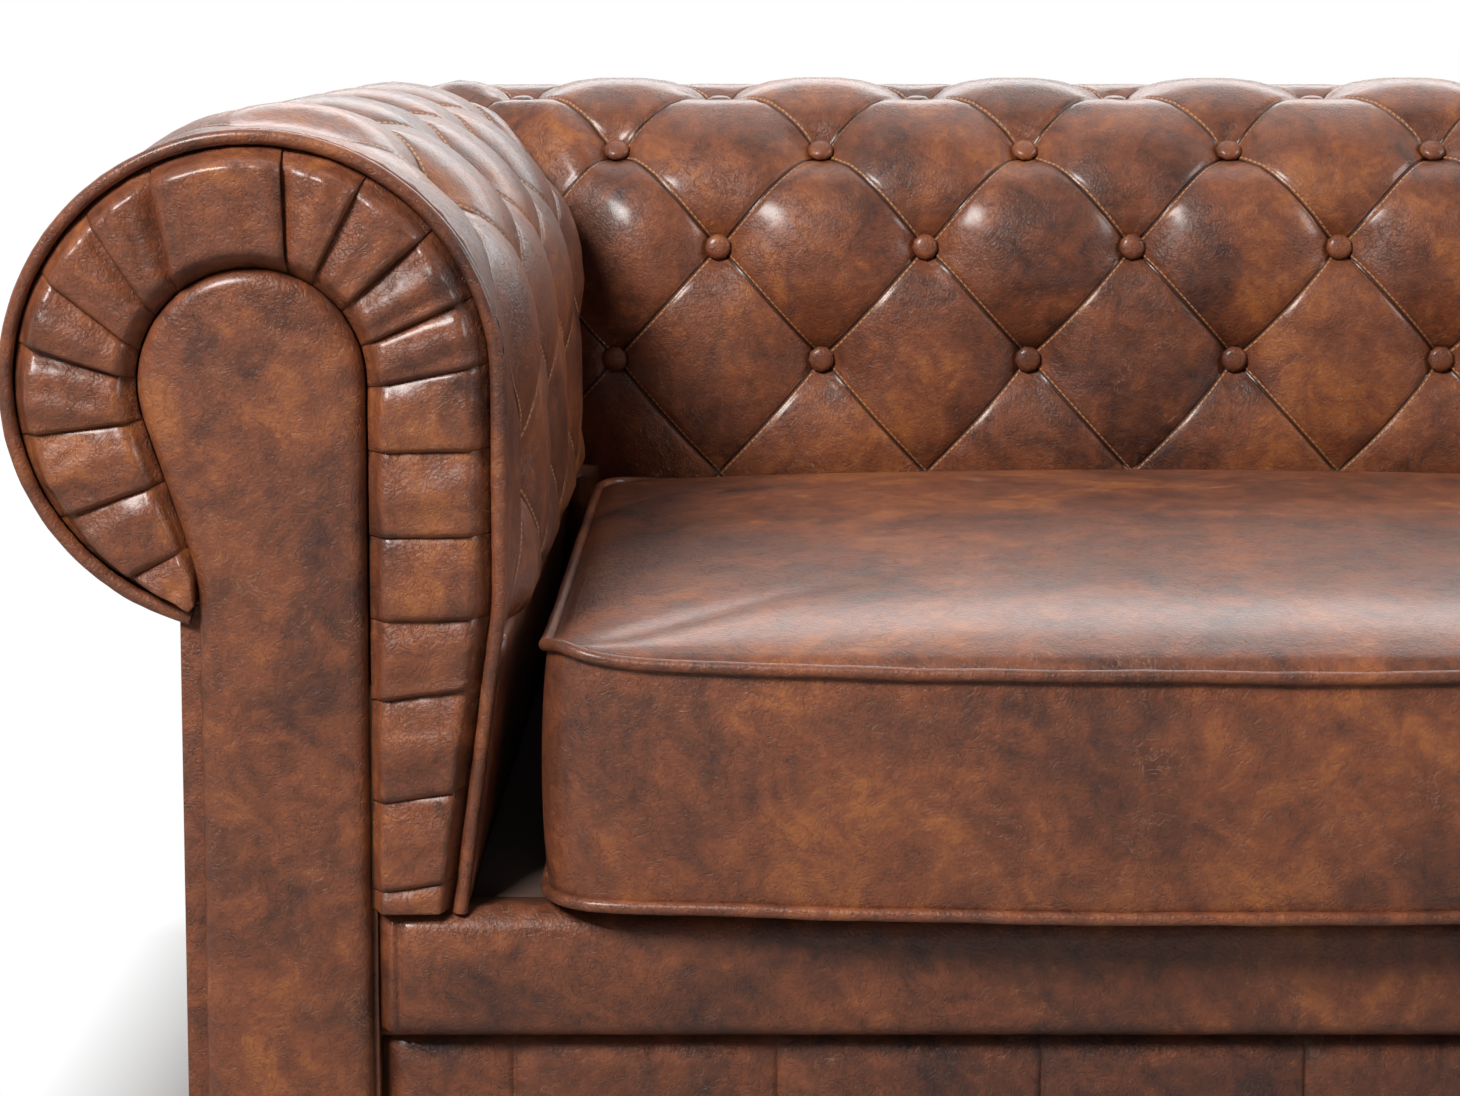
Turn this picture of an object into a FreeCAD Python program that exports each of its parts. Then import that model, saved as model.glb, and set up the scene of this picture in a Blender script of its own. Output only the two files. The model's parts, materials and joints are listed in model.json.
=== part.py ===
import FreeCAD, Part

import math
import os
import re

from FreeCAD import Placement, Rotation, Vector

# Chesterfield sofa, in millimetres. The frame is +Z up, with the origin on the floor under the
# middle of the sofa, +X along its length and -Y towards the sitter's feet.
# Left and right are as seen from the front, so the left arm is at -X.

SIZES = [
    # The whole sofa
    ("sofa_width", 2084, "across the outer sides of both arm rolls"),
    ("sofa_depth", 872, "from the bowed front of the cushions to the rear of the back roll"),
    ("sofa_height", 721, "from the floor to the crown of the pillows on the rolls"),
    # The rolled arms and back, which share one section
    ("roll_radius", 132, "of the leather over the roll, along the diamond seams"),
    ("pillow_crown", 8, "how far a diamond stands proud of its seams"),
    ("button_depth", 14, "how far a button sinks the leather below the seams"),
    ("pad_thickness", 40, "of the padding from the seams down to the roll board"),
    ("roll_board_thickness", 4, "of the bent board under the padding"),
    ("roll_end_angle", 255, "where the outer curl ends, from the inner side over the top"),
    ("straight_drop", 117, "height of the upright inner face under the roll's centre"),
    ("face_slope", 0.133, "run per rise of the inner face below its upright part"),
    ("hem_height", 445, "from the floor to the lower edge of the buttoned cover"),
    # The buttoned diamonds
    ("button_pitch", 150, "between buttons of one row"),
    ("row_pitch", 83, "between rows of buttons, along the leather"),
    ("first_row", 77, "from the hem up to the lowest row that shows"),
    ("row_count", 6, "rows of buttons over the roll"),
    ("corner_column", 28, "from the inner corner to the nearest column of buttons"),
    ("smooth_band", 70, "plain leather behind the welt before the diamonds start"),
    ("button_radius", 9.5, "of a covered button"),
    ("button_rise", 4.5, "of a button's dome"),
    # The arm fronts
    ("arm_setback", 28, "from the bowed front of the cushions to the front panel"),
    ("front_panel_thickness", 20, "of the padded keyhole panel"),
    ("scroll_board_thickness", 18, "of the plywood scroll boards and formers"),
    ("cover_lip", 4, "of the cover where it laps the edge of the front scroll board"),
    ("keyhole_radius", 60, "of the round head of the keyhole panel"),
    ("keyhole_neck", 29, "from the roll's centre line out to the panel's narrow neck"),
    ("keyhole_slant", 18.8, "of the panel's outer side from upright, in degrees"),
    ("keyhole_bend", 25, "radius where that slanted side meets the neck"),
    ("panel_edge_round", 7, "of the padded panel's front edge"),
    ("pleat_thickness", 9, "of the pleated band at a tucked edge"),
    ("pleat_fold", 5, "how far a fold stands over the next pleat"),
    ("pleat_step", 20.2, "of a pleat round the roll, in degrees"),
    ("box_pleat_angle", 30.6, "of the wide pleat at the top, in degrees"),
    ("box_pleat_middle", 98, "where the wide pleat sits, in degrees"),
    ("leg_pleat", 46.5, "of a pleat down the inner leg"),
    ("pleat_skew", 8, "how far a fold's inner end runs on past its outer end, in degrees"),
    ("welt_diameter", 8, "of the piped welt round the arm front"),
    ("welt_bend", 200, "radius of the welt where the inner face starts to lean"),
    # The panels
    ("outside_offset", 40, "from the roll's centre line out to the outside panel"),
    ("outside_thickness", 6, "of the outside panels"),
    ("outside_drop", 1.5, "from the end of the outer curl down to the outside panels"),
    ("inner_panel_thickness", 8, "of the plain panels below the buttoned covers"),
    ("foot_height", 66, "from the floor to the underside of the base"),
    ("base_height", 164, "of the base panel with the upright seams"),
    ("border_height", 70, "of the padded front border"),
    ("border_thickness", 26, "of the padded front border"),
    ("border_round", 9, "of the front border's edges"),
    ("base_panel_thickness", 12, "of the padded base front"),
    ("front_room", 2, "from the keyhole panels to the ends of the border and the base front"),
    ("base_seam_pitch", 141.3, "between upright seams of the base front"),
    ("base_seam_depth", 3, "of an upright seam"),
    # The seat
    ("deck_rise", 5, "of the deck above the top of the front border"),
    ("cushion_count", 2, "seat cushions side by side"),
    ("cushion_height", 133, "over the lower and the upper piping"),
    ("cushion_crown", 28, "of the top above the upper piping"),
    ("cushion_bow", 24, "how far the front bows out past its corners"),
    ("cushion_corner", 32, "radius of the corners in plan"),
    ("cushion_draw", 1.5, "how far the boxing draws in between its pipings"),
    ("cushion_pipe", 7, "diameter of the cushion piping"),
    ("cushion_clearance", 7, "from the arms' pillows to the cushion piping"),
    ("cushion_wall", 16, "of the cover and its wadding round the foam core"),
    ("cushion_floor", 6, "of the cover under the foam core"),
    ("cushion_space", 1, "between the pipings of neighbouring cushions"),
    ("zip_height", 22, "of the zip tape on the rear of a cushion"),
    ("zip_thickness", 1.5, "of the zip tape and teeth"),
    ("zip_teeth", 5, "height of the line of teeth"),
    ("zip_end", 15, "of zip past the slider's travel at each end"),
    ("slider_travel", 340, "of a zip slider along its zip"),
    ("slider_length", 10, "of a zip slider along its zip, at rest on the teeth"),
    ("slider_width", 9, "of a zip slider across its zip"),
    ("slider_thickness", 1.6, "of a zip slider"),
    ("pull_length", 22, "of a slider's pull"),
    ("pull_width", 5, "of a slider's pull"),
    ("pull_thickness", 0.8, "of a slider's pull"),
    ("pull_lap", 2, "of the pull above the middle of its slider"),
    # The frame inside
    ("rail_thickness", 30, "of the seat rails and posts"),
    ("rail_height", 110, "of the seat rails"),
    ("rear_rail_setback", 24, "of the rear seat rail behind the back's inner face"),
    ("side_rail_setback", 14, "of the side seat rails behind the arms' inner faces"),
    ("cross_rail_drop", 10, "of the cross rails under the tops of the seat rails"),
    ("front_post_depth", 40, "of the front posts, from front to rear"),
    ("tack_rail_height", 40, "of the rails that the covers are tacked to"),
    ("tack_rail_thickness", 25, "of those rails"),
    ("rear_board_inset", 52, "from the back's inner face forward to the rear scroll boards"),
    ("former_inset", 38, "from the inner corners to the outer scroll formers"),
    ("deck_thickness", 17.5, "of the deck pad"),
    ("deck_cloth_thickness", 1.5, "of the cloth over the springs"),
    ("spring_room", 6, "from the seat rails up to the deck cloth"),
    ("spring_lift", 4, "of the springs' wire over the seat rails"),
    ("spring_wire", 3.6, "diameter of the sinuous spring wire"),
    ("spring_count", 9, "springs from front to rear"),
    ("spring_pitch", 170, "between springs"),
    ("wave_width", 30, "of the straight run of a spring wave"),
    ("wave_radius", 10, "of the bends of a spring wave, about"),
    ("clip_width", 20, "of a spring clip across the spring"),
    ("clip_length", 15, "of a spring clip along the spring"),
    ("clip_height", 5.8, "of a spring clip"),
    ("base_rail_width", 90, "of the flat base rails"),
    ("base_rail_height", 50, "of the flat base rails"),
    ("roll_rail_width", 60, "of the rails inside the rolls"),
    ("roll_rail_height", 35, "of the rails inside the rolls"),
    ("roll_rail_lift", 44, "of those rails above the roll's centre"),
    ("back_rail_end", 10, "from an arm's centre line to the end of the back's top rail"),
    ("board_end", 3, "from the outside panels to the ends of the bent boards"),
    # The feet
    ("foot_radius", 42, "of a turned bun foot at its fullest"),
    ("foot_sole", 26, "radius of a foot where it stands on its glide"),
    ("foot_waist", 28, "radius of a foot under its collar"),
    ("foot_collar", 31, "radius of a foot's collar"),
    ("foot_gap", 2.5, "from a foot's collar to the cloth under the base"),
    ("foot_inset", 45, "from the base rail's outer faces to the foot's centre"),
    ("bolt_radius", 4, "of a hanger bolt"),
    ("bolt_depth", 38, "of a hanger bolt in its foot"),
    ("bolt_drop", 4, "of a bolt's end under the top of its rail"),
    ("nut_length", 12, "of a tee nut's barrel"),
    ("nut_flange", 11, "radius of a tee nut's flange"),
    ("nut_wall", 1.8, "of a tee nut's barrel, over the bolt's radius"),
    ("nut_room", 0.2, "round a tee nut's barrel in its rail"),
    ("flange_thickness", 1.5, "of a tee nut's flange"),
    ("dust_cover_thickness", 1, "of the cloth under the base"),
    ("glide_radius", 21, "of the plastic glide under a foot"),
    ("glide_thickness", 2, "of the plastic glide under a foot"),
    ("clearance", 0.3, "between pieces that are laid against each other"),
]

doc = FreeCAD.newDocument("chesterfield_sofa")
sheet = doc.addObject("Spreadsheet::Sheet", "Sizes")
for row, (name, value, meaning) in enumerate(SIZES, start=1):
    sheet.set("A%d" % row, meaning)
    sheet.set("B%d" % row, str(value))
    sheet.setAlias("B%d" % row, name)
doc.recompute()

NAMES = [name for name, _, _ in SIZES]
pieces = []


def size(name):
    """A driving dimension, as the sheet holds it."""
    return float(sheet.get(name))


def linked(text):
    """An expression in which each size's name points at the sheet."""
    return re.sub(
        r"[a-z_]+",
        lambda word: "Sizes." + word.group() if word.group() in NAMES else word.group(),
        text,
    )


def keep(piece):
    """Marks an object of the document as a sub-part to be written out."""
    pieces.append(piece)
    return piece


def block(label, low, high):
    """A box between two corners, whose coordinates are expressions on the sheet."""
    box = doc.addObject("Part::Box", label)
    for side, near, far in zip(("Length", "Width", "Height"), low, high):
        box.setExpression(side, linked("(%s) - (%s)" % (far, near)))
    for letter, near in zip("xyz", low):
        box.setExpression("Placement.Base." + letter, linked(near))
    return box


def rod(label, radius, length, at):
    """An upright cylinder, sized and placed by expressions on the sheet."""
    cylinder = doc.addObject("Part::Cylinder", label)
    cylinder.setExpression("Radius", linked(radius))
    cylinder.setExpression("Height", linked(length))
    for letter, near in zip("xyz", at):
        cylinder.setExpression("Placement.Base." + letter, linked(near))
    return cylinder


def cut(label, base, tool):
    """The base with the tool taken away."""
    result = doc.addObject("Part::Cut", label)
    result.Base = base
    result.Tool = tool
    return result


def group(label, members):
    """Several separate solids in one sub-part."""
    compound = doc.addObject("Part::Compound", label)
    compound.Links = members
    return compound


def mirrored(label, source):
    """The right-hand copy of a left-hand object."""
    copy = doc.addObject("Part::Mirroring", label)
    copy.Source = source
    copy.Normal = Vector(1, 0, 0)
    return copy


def shaped(label, shape):
    """A sub-part whose shape comes from lofts or sweeps."""
    piece = doc.addObject("Part::Feature", label)
    piece.Shape = shape
    return piece


def role_plane(body, role):
    """One of a body's own origin planes."""
    for feature in body.Origin.OriginFeatures:
        if feature.Role == role:
            return feature
    raise ValueError("no plane called " + role)


def padded_body(label, loops, thickness, placement):
    """A body padded to the rear from closed loops drawn in the upright XZ plane."""
    body = doc.addObject("PartDesign::Body", label)
    sketch = body.newObject("Sketcher::SketchObject", label + "_outline")
    sketch.AttachmentSupport = [(role_plane(body, "XZ_Plane"), "")]
    sketch.MapMode = "FlatFace"
    for loop in loops:
        for curve in loop:
            sketch.addGeometry(curve, False)
    pad = body.newObject("PartDesign::Pad", label + "_pad")
    pad.Profile = sketch
    pad.setExpression("Length", linked(thickness))
    pad.Reversed = True
    body.Tip = pad
    body.Placement = placement
    return body


def turned_body(label, loop, placement):
    """A body turned about the upright axis from a closed loop in the XZ plane."""
    body = doc.addObject("PartDesign::Body", label)
    sketch = body.newObject("Sketcher::SketchObject", label + "_profile")
    sketch.AttachmentSupport = [(role_plane(body, "XZ_Plane"), "")]
    sketch.MapMode = "FlatFace"
    for curve in loop:
        sketch.addGeometry(curve, False)
    turning = body.newObject("PartDesign::Revolution", label + "_turning")
    turning.Profile = sketch
    turning.ReferenceAxis = (sketch, ["V_Axis"])
    turning.Angle = 360
    body.Tip = turning
    body.Placement = placement
    return body


def polyline(points):
    """Line segments through plane points, one after another."""
    vectors = [Vector(a, b, 0) for a, b in points]
    return [Part.LineSegment(a, b) for a, b in zip(vectors, vectors[1:])]


def arc(radius, start, end, centre):
    """An arc about a plane centre between two angles in degrees, the short way."""
    turns = [math.radians(start + (end - start) * share) for share in (0, 0.5, 1)]
    through = [
        Vector(centre[0] + radius * math.cos(turn), centre[1] + radius * math.sin(turn), 0)
        for turn in turns
    ]
    return Part.Arc(*through)


def wire_of(curves):
    """One wire of curves that already follow each other."""
    return Part.Wire([curve.toShape() for curve in curves])


# Places that several pieces share, worked out from the driving dimensions.
# Offsets are measured from a roll's centre line, positive towards the seat.

gap = size("clearance")
half_width = size("sofa_width") / 2
half_depth = size("sofa_depth") / 2
roll_radius = size("roll_radius")
roll_outside = roll_radius + size("pillow_crown")
arm_centre = half_width - roll_radius
back_centre = half_depth - roll_radius
roll_height = size("sofa_height") - roll_outside
hem = size("hem_height")
roll_end = size("roll_end_angle")
board_front = -half_depth + size("arm_setback") + size("front_panel_thickness")
board_rear = board_front + size("scroll_board_thickness")
base_bottom = size("foot_height")
border_bottom = base_bottom + size("base_height")
border_top = border_bottom + size("border_height")
deck_top = border_top + size("deck_rise")
outside = size("outside_offset") - size("outside_thickness")
keyhole = size("keyhole_radius")
panel_side = keyhole + 2 * gap
rail_top = deck_top - size("deck_thickness") - size("deck_cloth_thickness") - size("spring_room")
cover_inside = roll_radius - size("pad_thickness")

# The same places, written for the expressions.
ARM = "(sofa_width / 2 - roll_radius)"
BACK = "(sofa_depth / 2 - roll_radius)"
ROLL = "(sofa_height - roll_radius - pillow_crown)"
FRONT = "(0 - sofa_depth / 2 + arm_setback + front_panel_thickness)"
BOARD_REAR = "(%s + scroll_board_thickness)" % FRONT
FRAME_SIDE = "(%s + outside_offset - outside_thickness)" % ARM
FRAME_BACK = "(%s + outside_offset - outside_thickness)" % BACK
BORDER_TOP = "(foot_height + base_height + border_height)"
DECK = "(%s + deck_rise)" % BORDER_TOP
RAIL_TOP = "(%s - deck_thickness - deck_cloth_thickness - spring_room)" % DECK
RAIL_LOW = "(%s - rail_height)" % RAIL_TOP
BASE_TOP = "(foot_height + base_rail_height)"
REAR_RAIL = "(%s - roll_radius + rear_rail_setback)" % BACK
SIDE_RAIL = "(%s - roll_radius + side_rail_setback)" % ARM
REAR_BOARD = "(%s - roll_radius - rear_board_inset)" % BACK
BORDER_END = "(%s - keyhole_radius - front_room)" % ARM
CURL_END = "(%s + roll_radius * sin(roll_end_angle))" % ROLL
OUTSIDE_TOP = "(%s - outside_drop)" % CURL_END
PANEL_FALL = "(max(0; %s - straight_drop - (%%s)) * face_slope + inner_panel_thickness)" % ROLL


def face_offset(height):
    """The inner face of an arm or the back at a height: upright, then falling away."""
    fall = max(0, roll_height - size("straight_drop") - height)
    return roll_radius - fall * size("face_slope")


# Frame: base rails, seat rails, posts and cross rails

inner_rail_side = "%s - base_rail_width" % FRAME_SIDE
side_base_rail = block(
    "side_base_rail",
    ("0 - %s" % FRAME_SIDE, BOARD_REAR, "foot_height"),
    ("0 - (%s)" % inner_rail_side, FRAME_BACK, BASE_TOP),
)
foot_x = "(0 - %s + foot_inset)" % FRAME_SIDE
foot_fronts = ("(%s + foot_inset)" % BOARD_REAR, "(%s - foot_inset)" % FRAME_BACK)
drilled = side_base_rail
for number, foot_y in enumerate(foot_fronts, start=1):
    hole = rod(
        "bolt_hole_%d" % number,
        "bolt_radius + nut_wall + nut_room",
        "base_rail_height",
        (foot_x, foot_y, "foot_height"),
    )
    drilled = cut("drilled_base_rail_%d" % number, drilled, hole)
cross_base_rails = [
    block(
        label,
        ("0 - (%s)" % inner_rail_side, low, "foot_height"),
        (inner_rail_side, high, BASE_TOP),
    )
    for label, low, high in (
        ("front_base_rail", BOARD_REAR, "%s + base_rail_width" % BOARD_REAR),
        ("rear_base_rail", "%s - base_rail_width" % FRAME_BACK, FRAME_BACK),
    )
]
keep(group("base_rails", [drilled, mirrored("right_base_rail", drilled)] + cross_base_rails))

keep(block(
    "front_seat_rail",
    ("0 - %s" % FRAME_SIDE, BOARD_REAR, RAIL_LOW),
    (FRAME_SIDE, "%s + rail_thickness" % BOARD_REAR, RAIL_TOP),
))
keep(block(
    "rear_seat_rail",
    ("0 - %s" % FRAME_SIDE, REAR_RAIL, RAIL_LOW),
    (FRAME_SIDE, "%s + rail_thickness" % REAR_RAIL, RAIL_TOP),
))
side_seat_rail = block(
    "left_seat_rail",
    ("0 - %s" % SIDE_RAIL, "%s + rail_thickness" % BOARD_REAR, RAIL_LOW),
    ("0 - %s + rail_thickness" % SIDE_RAIL, REAR_RAIL, RAIL_TOP),
)
keep(group("side_seat_rails", [side_seat_rail, mirrored("right_seat_rail", side_seat_rail)]))
cross_rail = block(
    "left_cross_rail",
    ("0 - spring_pitch * 1.5 - rail_thickness / 2", "%s + rail_thickness" % BOARD_REAR, RAIL_LOW),
    ("0 - spring_pitch * 1.5 + rail_thickness / 2", REAR_RAIL, "%s - cross_rail_drop" % RAIL_TOP),
)
keep(group("seat_cross_rails", [cross_rail, mirrored("right_cross_rail", cross_rail)]))

front_post = block(
    "left_front_post",
    ("0 - %s" % FRAME_SIDE, "%s + rail_thickness" % BOARD_REAR, BASE_TOP),
    (
        "0 - %s + rail_thickness" % FRAME_SIDE,
        "%s + rail_thickness + front_post_depth" % BOARD_REAR,
        "%s - tack_rail_height" % OUTSIDE_TOP,
    ),
)
rear_post = block(
    "left_rear_post",
    ("0 - %s" % FRAME_SIDE, "%s + rail_thickness" % REAR_RAIL, BASE_TOP),
    ("0 - %s + rail_thickness" % FRAME_SIDE, FRAME_BACK, OUTSIDE_TOP),
)
keep(group("frame_posts", [
    front_post,
    mirrored("right_front_post", front_post),
    rear_post,
    mirrored("right_rear_post", rear_post),
]))


# Scroll boards and formers

def scroll_outline(radius, hem_edge, foot_edges):
    """The side of a rolled arm as a closed loop: a neck, the roll, and the inner face.

    hem_edge is the offset of the upright inner edge at the hem. foot_edges are the
    corners from there down to the foot of the outer side.
    """
    neck = -outside + gap
    neck_angle = 360 - math.degrees(math.acos(neck / radius))
    neck_top = roll_height + radius * math.sin(math.radians(neck_angle))
    centre = (0, roll_height)
    low = foot_edges[-1][1]
    curves = polyline([(neck, low), (neck, neck_top)])
    curves.append(arc(radius, neck_angle, neck_angle / 2, centre))
    curves.append(arc(radius, neck_angle / 2, 0, centre))
    upright_end = roll_height - size("straight_drop")
    curves += polyline(
        [(radius, roll_height), (radius, upright_end), (hem_edge, hem)] + foot_edges + [(neck, low)]
    )
    return curves


def at_left_arm(y):
    """The placement of a board in the left arm's section, its front face at y."""
    return Placement(Vector(-arm_centre, y, 0), Rotation())


def at_back(x):
    """The placement of a former in the back's section, its left face at x."""
    return Placement(Vector(x, back_centre, 0), Rotation(Vector(0, 0, 1), -90))


panel_back = size("inner_panel_thickness") + gap
front_board_outline = scroll_outline(
    roll_radius - size("cover_lip"),
    face_offset(hem) - size("cover_lip"),
    [
        (face_offset(hem) - panel_back, hem),
        (face_offset(border_top) - panel_back, border_top + gap),
        (panel_side, border_top + gap),
        (panel_side, base_bottom),
    ],
)
front_board = padded_body(
    "left_front_scroll", [front_board_outline], "scroll_board_thickness", at_left_arm(board_front)
)
keep(group("front_scroll_boards", [front_board, mirrored("right_front_scroll", front_board)]))

rear_board_front = back_centre - roll_radius - size("rear_board_inset")
inner_radius = cover_inside - size("roll_board_thickness") - gap
inner_outline = scroll_outline(
    inner_radius,
    inner_radius,
    [
        (face_offset(hem) - panel_back, hem - gap),
        (face_offset(deck_top) - panel_back, deck_top),
        (face_offset(rail_top) - panel_back, rail_top),
    ],
)
rear_board = padded_body(
    "left_rear_scroll", [inner_outline], "scroll_board_thickness", at_left_arm(rear_board_front)
)
keep(group("rear_scroll_boards", [rear_board, mirrored("right_rear_scroll", rear_board)]))

rail_half = size("roll_rail_width") / 2 + gap
slot_low = roll_height + size("roll_rail_lift") - gap
slot_high = slot_low + size("roll_rail_height") + 2 * gap
rail_slot = polyline([
    (-rail_half, slot_low),
    (rail_half, slot_low),
    (rail_half, slot_high),
    (-rail_half, slot_high),
    (-rail_half, slot_low),
])
former_end = arm_centre - roll_radius - size("former_inset")
former_places = [-former_end, -former_end / 3]
former_places += [-place - size("scroll_board_thickness") for place in former_places[::-1]]
formers = [
    padded_body("former_%d" % number, [inner_outline, rail_slot], "scroll_board_thickness", at_back(x))
    for number, x in enumerate(former_places, start=1)
]
keep(group("back_formers", formers))

rail_low = "%s + roll_rail_lift" % ROLL
rail_high = "%s + roll_rail_lift + roll_rail_height" % ROLL
arm_rail = block(
    "left_arm_rail",
    ("0 - %s - roll_rail_width / 2" % ARM, BOARD_REAR, rail_low),
    ("0 - %s + roll_rail_width / 2" % ARM, REAR_BOARD, rail_high),
)
tack_face = "0 - %s + roll_radius - %s - clearance" % (
    ARM, PANEL_FALL % "hem_height - tack_rail_height"
)
inner_tack_rail = block(
    "left_inner_tack_rail",
    ("%s - tack_rail_thickness" % tack_face, BOARD_REAR, "hem_height - tack_rail_height"),
    (tack_face, REAR_BOARD, "hem_height - clearance"),
)
outer_tack_rail = block(
    "left_outer_tack_rail",
    ("0 - %s" % FRAME_SIDE, BOARD_REAR, "%s - tack_rail_height" % OUTSIDE_TOP),
    ("0 - %s + tack_rail_thickness" % FRAME_SIDE, REAR_BOARD, OUTSIDE_TOP),
)
keep(group("arm_top_rails", [arm_rail, mirrored("right_arm_rail", arm_rail)]))
keep(group("arm_tack_rails", [
    inner_tack_rail,
    mirrored("right_inner_tack_rail", inner_tack_rail),
    outer_tack_rail,
    mirrored("right_outer_tack_rail", outer_tack_rail),
]))
keep(block(
    "back_top_rail",
    ("0 - %s + back_rail_end" % ARM, "%s - roll_rail_width / 2" % BACK, rail_low),
    ("%s - back_rail_end" % ARM, "%s + roll_rail_width / 2" % BACK, rail_high),
))


# Rolled covers: the section runs up the inner face and round the roll

def in_arm(offset, along, height):
    """A point of the left arm, from an offset in its section and a distance along Y."""
    return Vector(-arm_centre + offset, along, height)


def in_back(offset, along, height):
    """A point of the back, from an offset in its section and a distance along X."""
    return Vector(along, back_centre - offset, height)


corner_inside = arm_centre - roll_radius
back_inside = back_centre - roll_radius


def mitre_wedge(points):
    """An upright prism over a plan outline, taller than the sofa."""
    low = [Vector(x, y, 0) for x, y in points]
    face = Part.Face(Part.makePolygon(low + low[:1]))
    return face.extrude(Vector(0, 0, size("sofa_height") * 1.5))


spare = 60
outer = roll_outside * 2 + spare
arm_wedge = mitre_wedge([
    (-corner_inside + spare, -half_depth - spare),
    (-corner_inside + spare, back_inside - spare - gap),
    (-corner_inside - outer, back_inside + outer - gap),
    (-corner_inside - outer, -half_depth - spare),
])
back_wedge = mitre_wedge([
    (-corner_inside + spare, back_inside - spare),
    (corner_inside - spare, back_inside - spare),
    (corner_inside + outer, back_inside + outer),
    (-corner_inside - outer, back_inside + outer),
])


def neck_turn(radius):
    """The angle at which a ring inside the cover comes to the neck of the boards."""
    return 2 * math.pi - math.acos(-(outside + size("board_end")) / radius)


def bent_board(place, start, end):
    """The bent board under a rolled cover, from the hem over the roll."""
    outside_radius = cover_inside
    inside_radius = cover_inside - size("roll_board_thickness")
    points = []
    for radius in (outside_radius, inside_radius):
        turns = [neck_turn(inside_radius) * share for share in (0, 0.25, 0.5, 0.75, 1)]
        ring = [(radius * math.cos(turn), roll_height + radius * math.sin(turn)) for turn in turns]
        points.append([place(offset, start, height) for offset, height in ring])
        points[-1].insert(0, place(radius, start, hem))
    outer_line, inner_line = points
    edges = [Part.LineSegment(outer_line[0], outer_line[1]).toShape()]
    edges.append(Part.Arc(*outer_line[1:4]).toShape())
    edges.append(Part.Arc(*outer_line[3:6]).toShape())
    edges.append(Part.LineSegment(outer_line[5], inner_line[5]).toShape())
    edges.append(Part.Arc(*inner_line[5:2:-1]).toShape())
    edges.append(Part.Arc(*inner_line[3:0:-1]).toShape())
    edges.append(Part.LineSegment(inner_line[1], inner_line[0]).toShape())
    edges.append(Part.LineSegment(inner_line[0], outer_line[0]).toShape())
    sweep = place(0, end, 0) - place(0, start, 0)
    return Part.Face(Part.Wire(edges)).extrude(sweep)


left_roll_board = shaped(
    "left_roll_board", bent_board(in_arm, board_rear, half_depth).common(arm_wedge)
)
keep(group("arm_roll_boards", [left_roll_board, mirrored("right_roll_board", left_roll_board)]))
keep(shaped(
    "back_roll_board", bent_board(in_back, -half_width, half_width).common(back_wedge)
))

face_length = roll_height - hem
cover_length = face_length + math.radians(roll_end) * roll_radius
row_pitch = size("row_pitch")
button_pitch = size("button_pitch")
last_row = int(size("row_count")) - 1
row_places = [size("first_row") + row_pitch * number for number in range(last_row + 1)]


def section_point(travel, proud):
    """Offset and height of a point of the cover, from its travel up from the hem.

    proud is how far it stands out of the seam line, negative where it is sunk.
    """
    if travel < face_length:
        height = hem + travel
        return face_offset(height) + proud, height
    turn = (travel - face_length) / roll_radius
    radius = roll_radius + proud
    return radius * math.cos(turn), roll_height + radius * math.sin(turn)


def faded(value, start, end):
    """0 up to start and 1 from end, straight between."""
    return min(1, max(0, (value - start) / (end - start)))


def tuft(along, travel, first_column, band_end):
    """How far the buttoned cover stands proud of the roll at a point."""
    column = (along - first_column) / button_pitch
    row = (travel - row_places[0]) / row_pitch
    one = column + row / 2
    other = column - row / 2
    pillow = (abs(math.sin(math.pi * one)) * abs(math.sin(math.pi * other))) ** 0.6
    pinch = ((1 + math.cos(2 * math.pi * one)) * (1 + math.cos(2 * math.pi * other)) / 4) ** 2
    height = size("pillow_crown") * pillow - size("button_depth") * pinch
    height *= 1 - faded(travel, row_places[-1], row_places[-1] + row_pitch / 2)
    height *= faded(travel, -row_pitch / 2, row_pitch / 4)
    return height * faded(along, band_end - button_pitch / 4, band_end)


def travels():
    """Where the section's corners lie along the cover: on the rows and between them."""
    quarter = row_pitch / 4
    below = int((row_places[0] - 1) / quarter)
    on_rows = [row_places[0] + quarter * step for step in range(-below, 4 * last_row + 1)]
    rest = cover_length - on_rows[-1]
    tail = [on_rows[-1] + rest * step / 8 for step in range(1, 9)]
    return [0] + on_rows + tail


def buttoned_cover(place, stations, first_column, band_end):
    """A rolled pad, lofted through sections at every quarter of the button pitch."""
    end_turn = neck_turn(cover_inside)
    inside = [
        (cover_inside * math.cos(turn), roll_height + cover_inside * math.sin(turn))
        for turn in (end_turn, end_turn * 0.75, end_turn / 2, end_turn / 4, 0)
    ]
    sections = []
    for along in stations:
        outside_points = []
        for travel in travels():
            proud = tuft(along, travel, first_column, band_end)
            offset, height = section_point(travel, proud)
            outside_points.append(place(offset, along, height))
        inner = [place(offset, along, height) for offset, height in inside]
        foot = place(cover_inside, along, hem)
        edges = [
            Part.LineSegment(a, b).toShape()
            for a, b in zip(outside_points, outside_points[1:] + inner[:1])
        ]
        edges.append(Part.Arc(*inner[0:3]).toShape())
        edges.append(Part.Arc(*inner[2:5]).toShape())
        edges.append(Part.LineSegment(inner[4], foot).toShape())
        edges.append(Part.LineSegment(foot, outside_points[0]).toShape())
        sections.append(Part.Wire(edges))
    return Part.makeLoft(sections, True, True)


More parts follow.
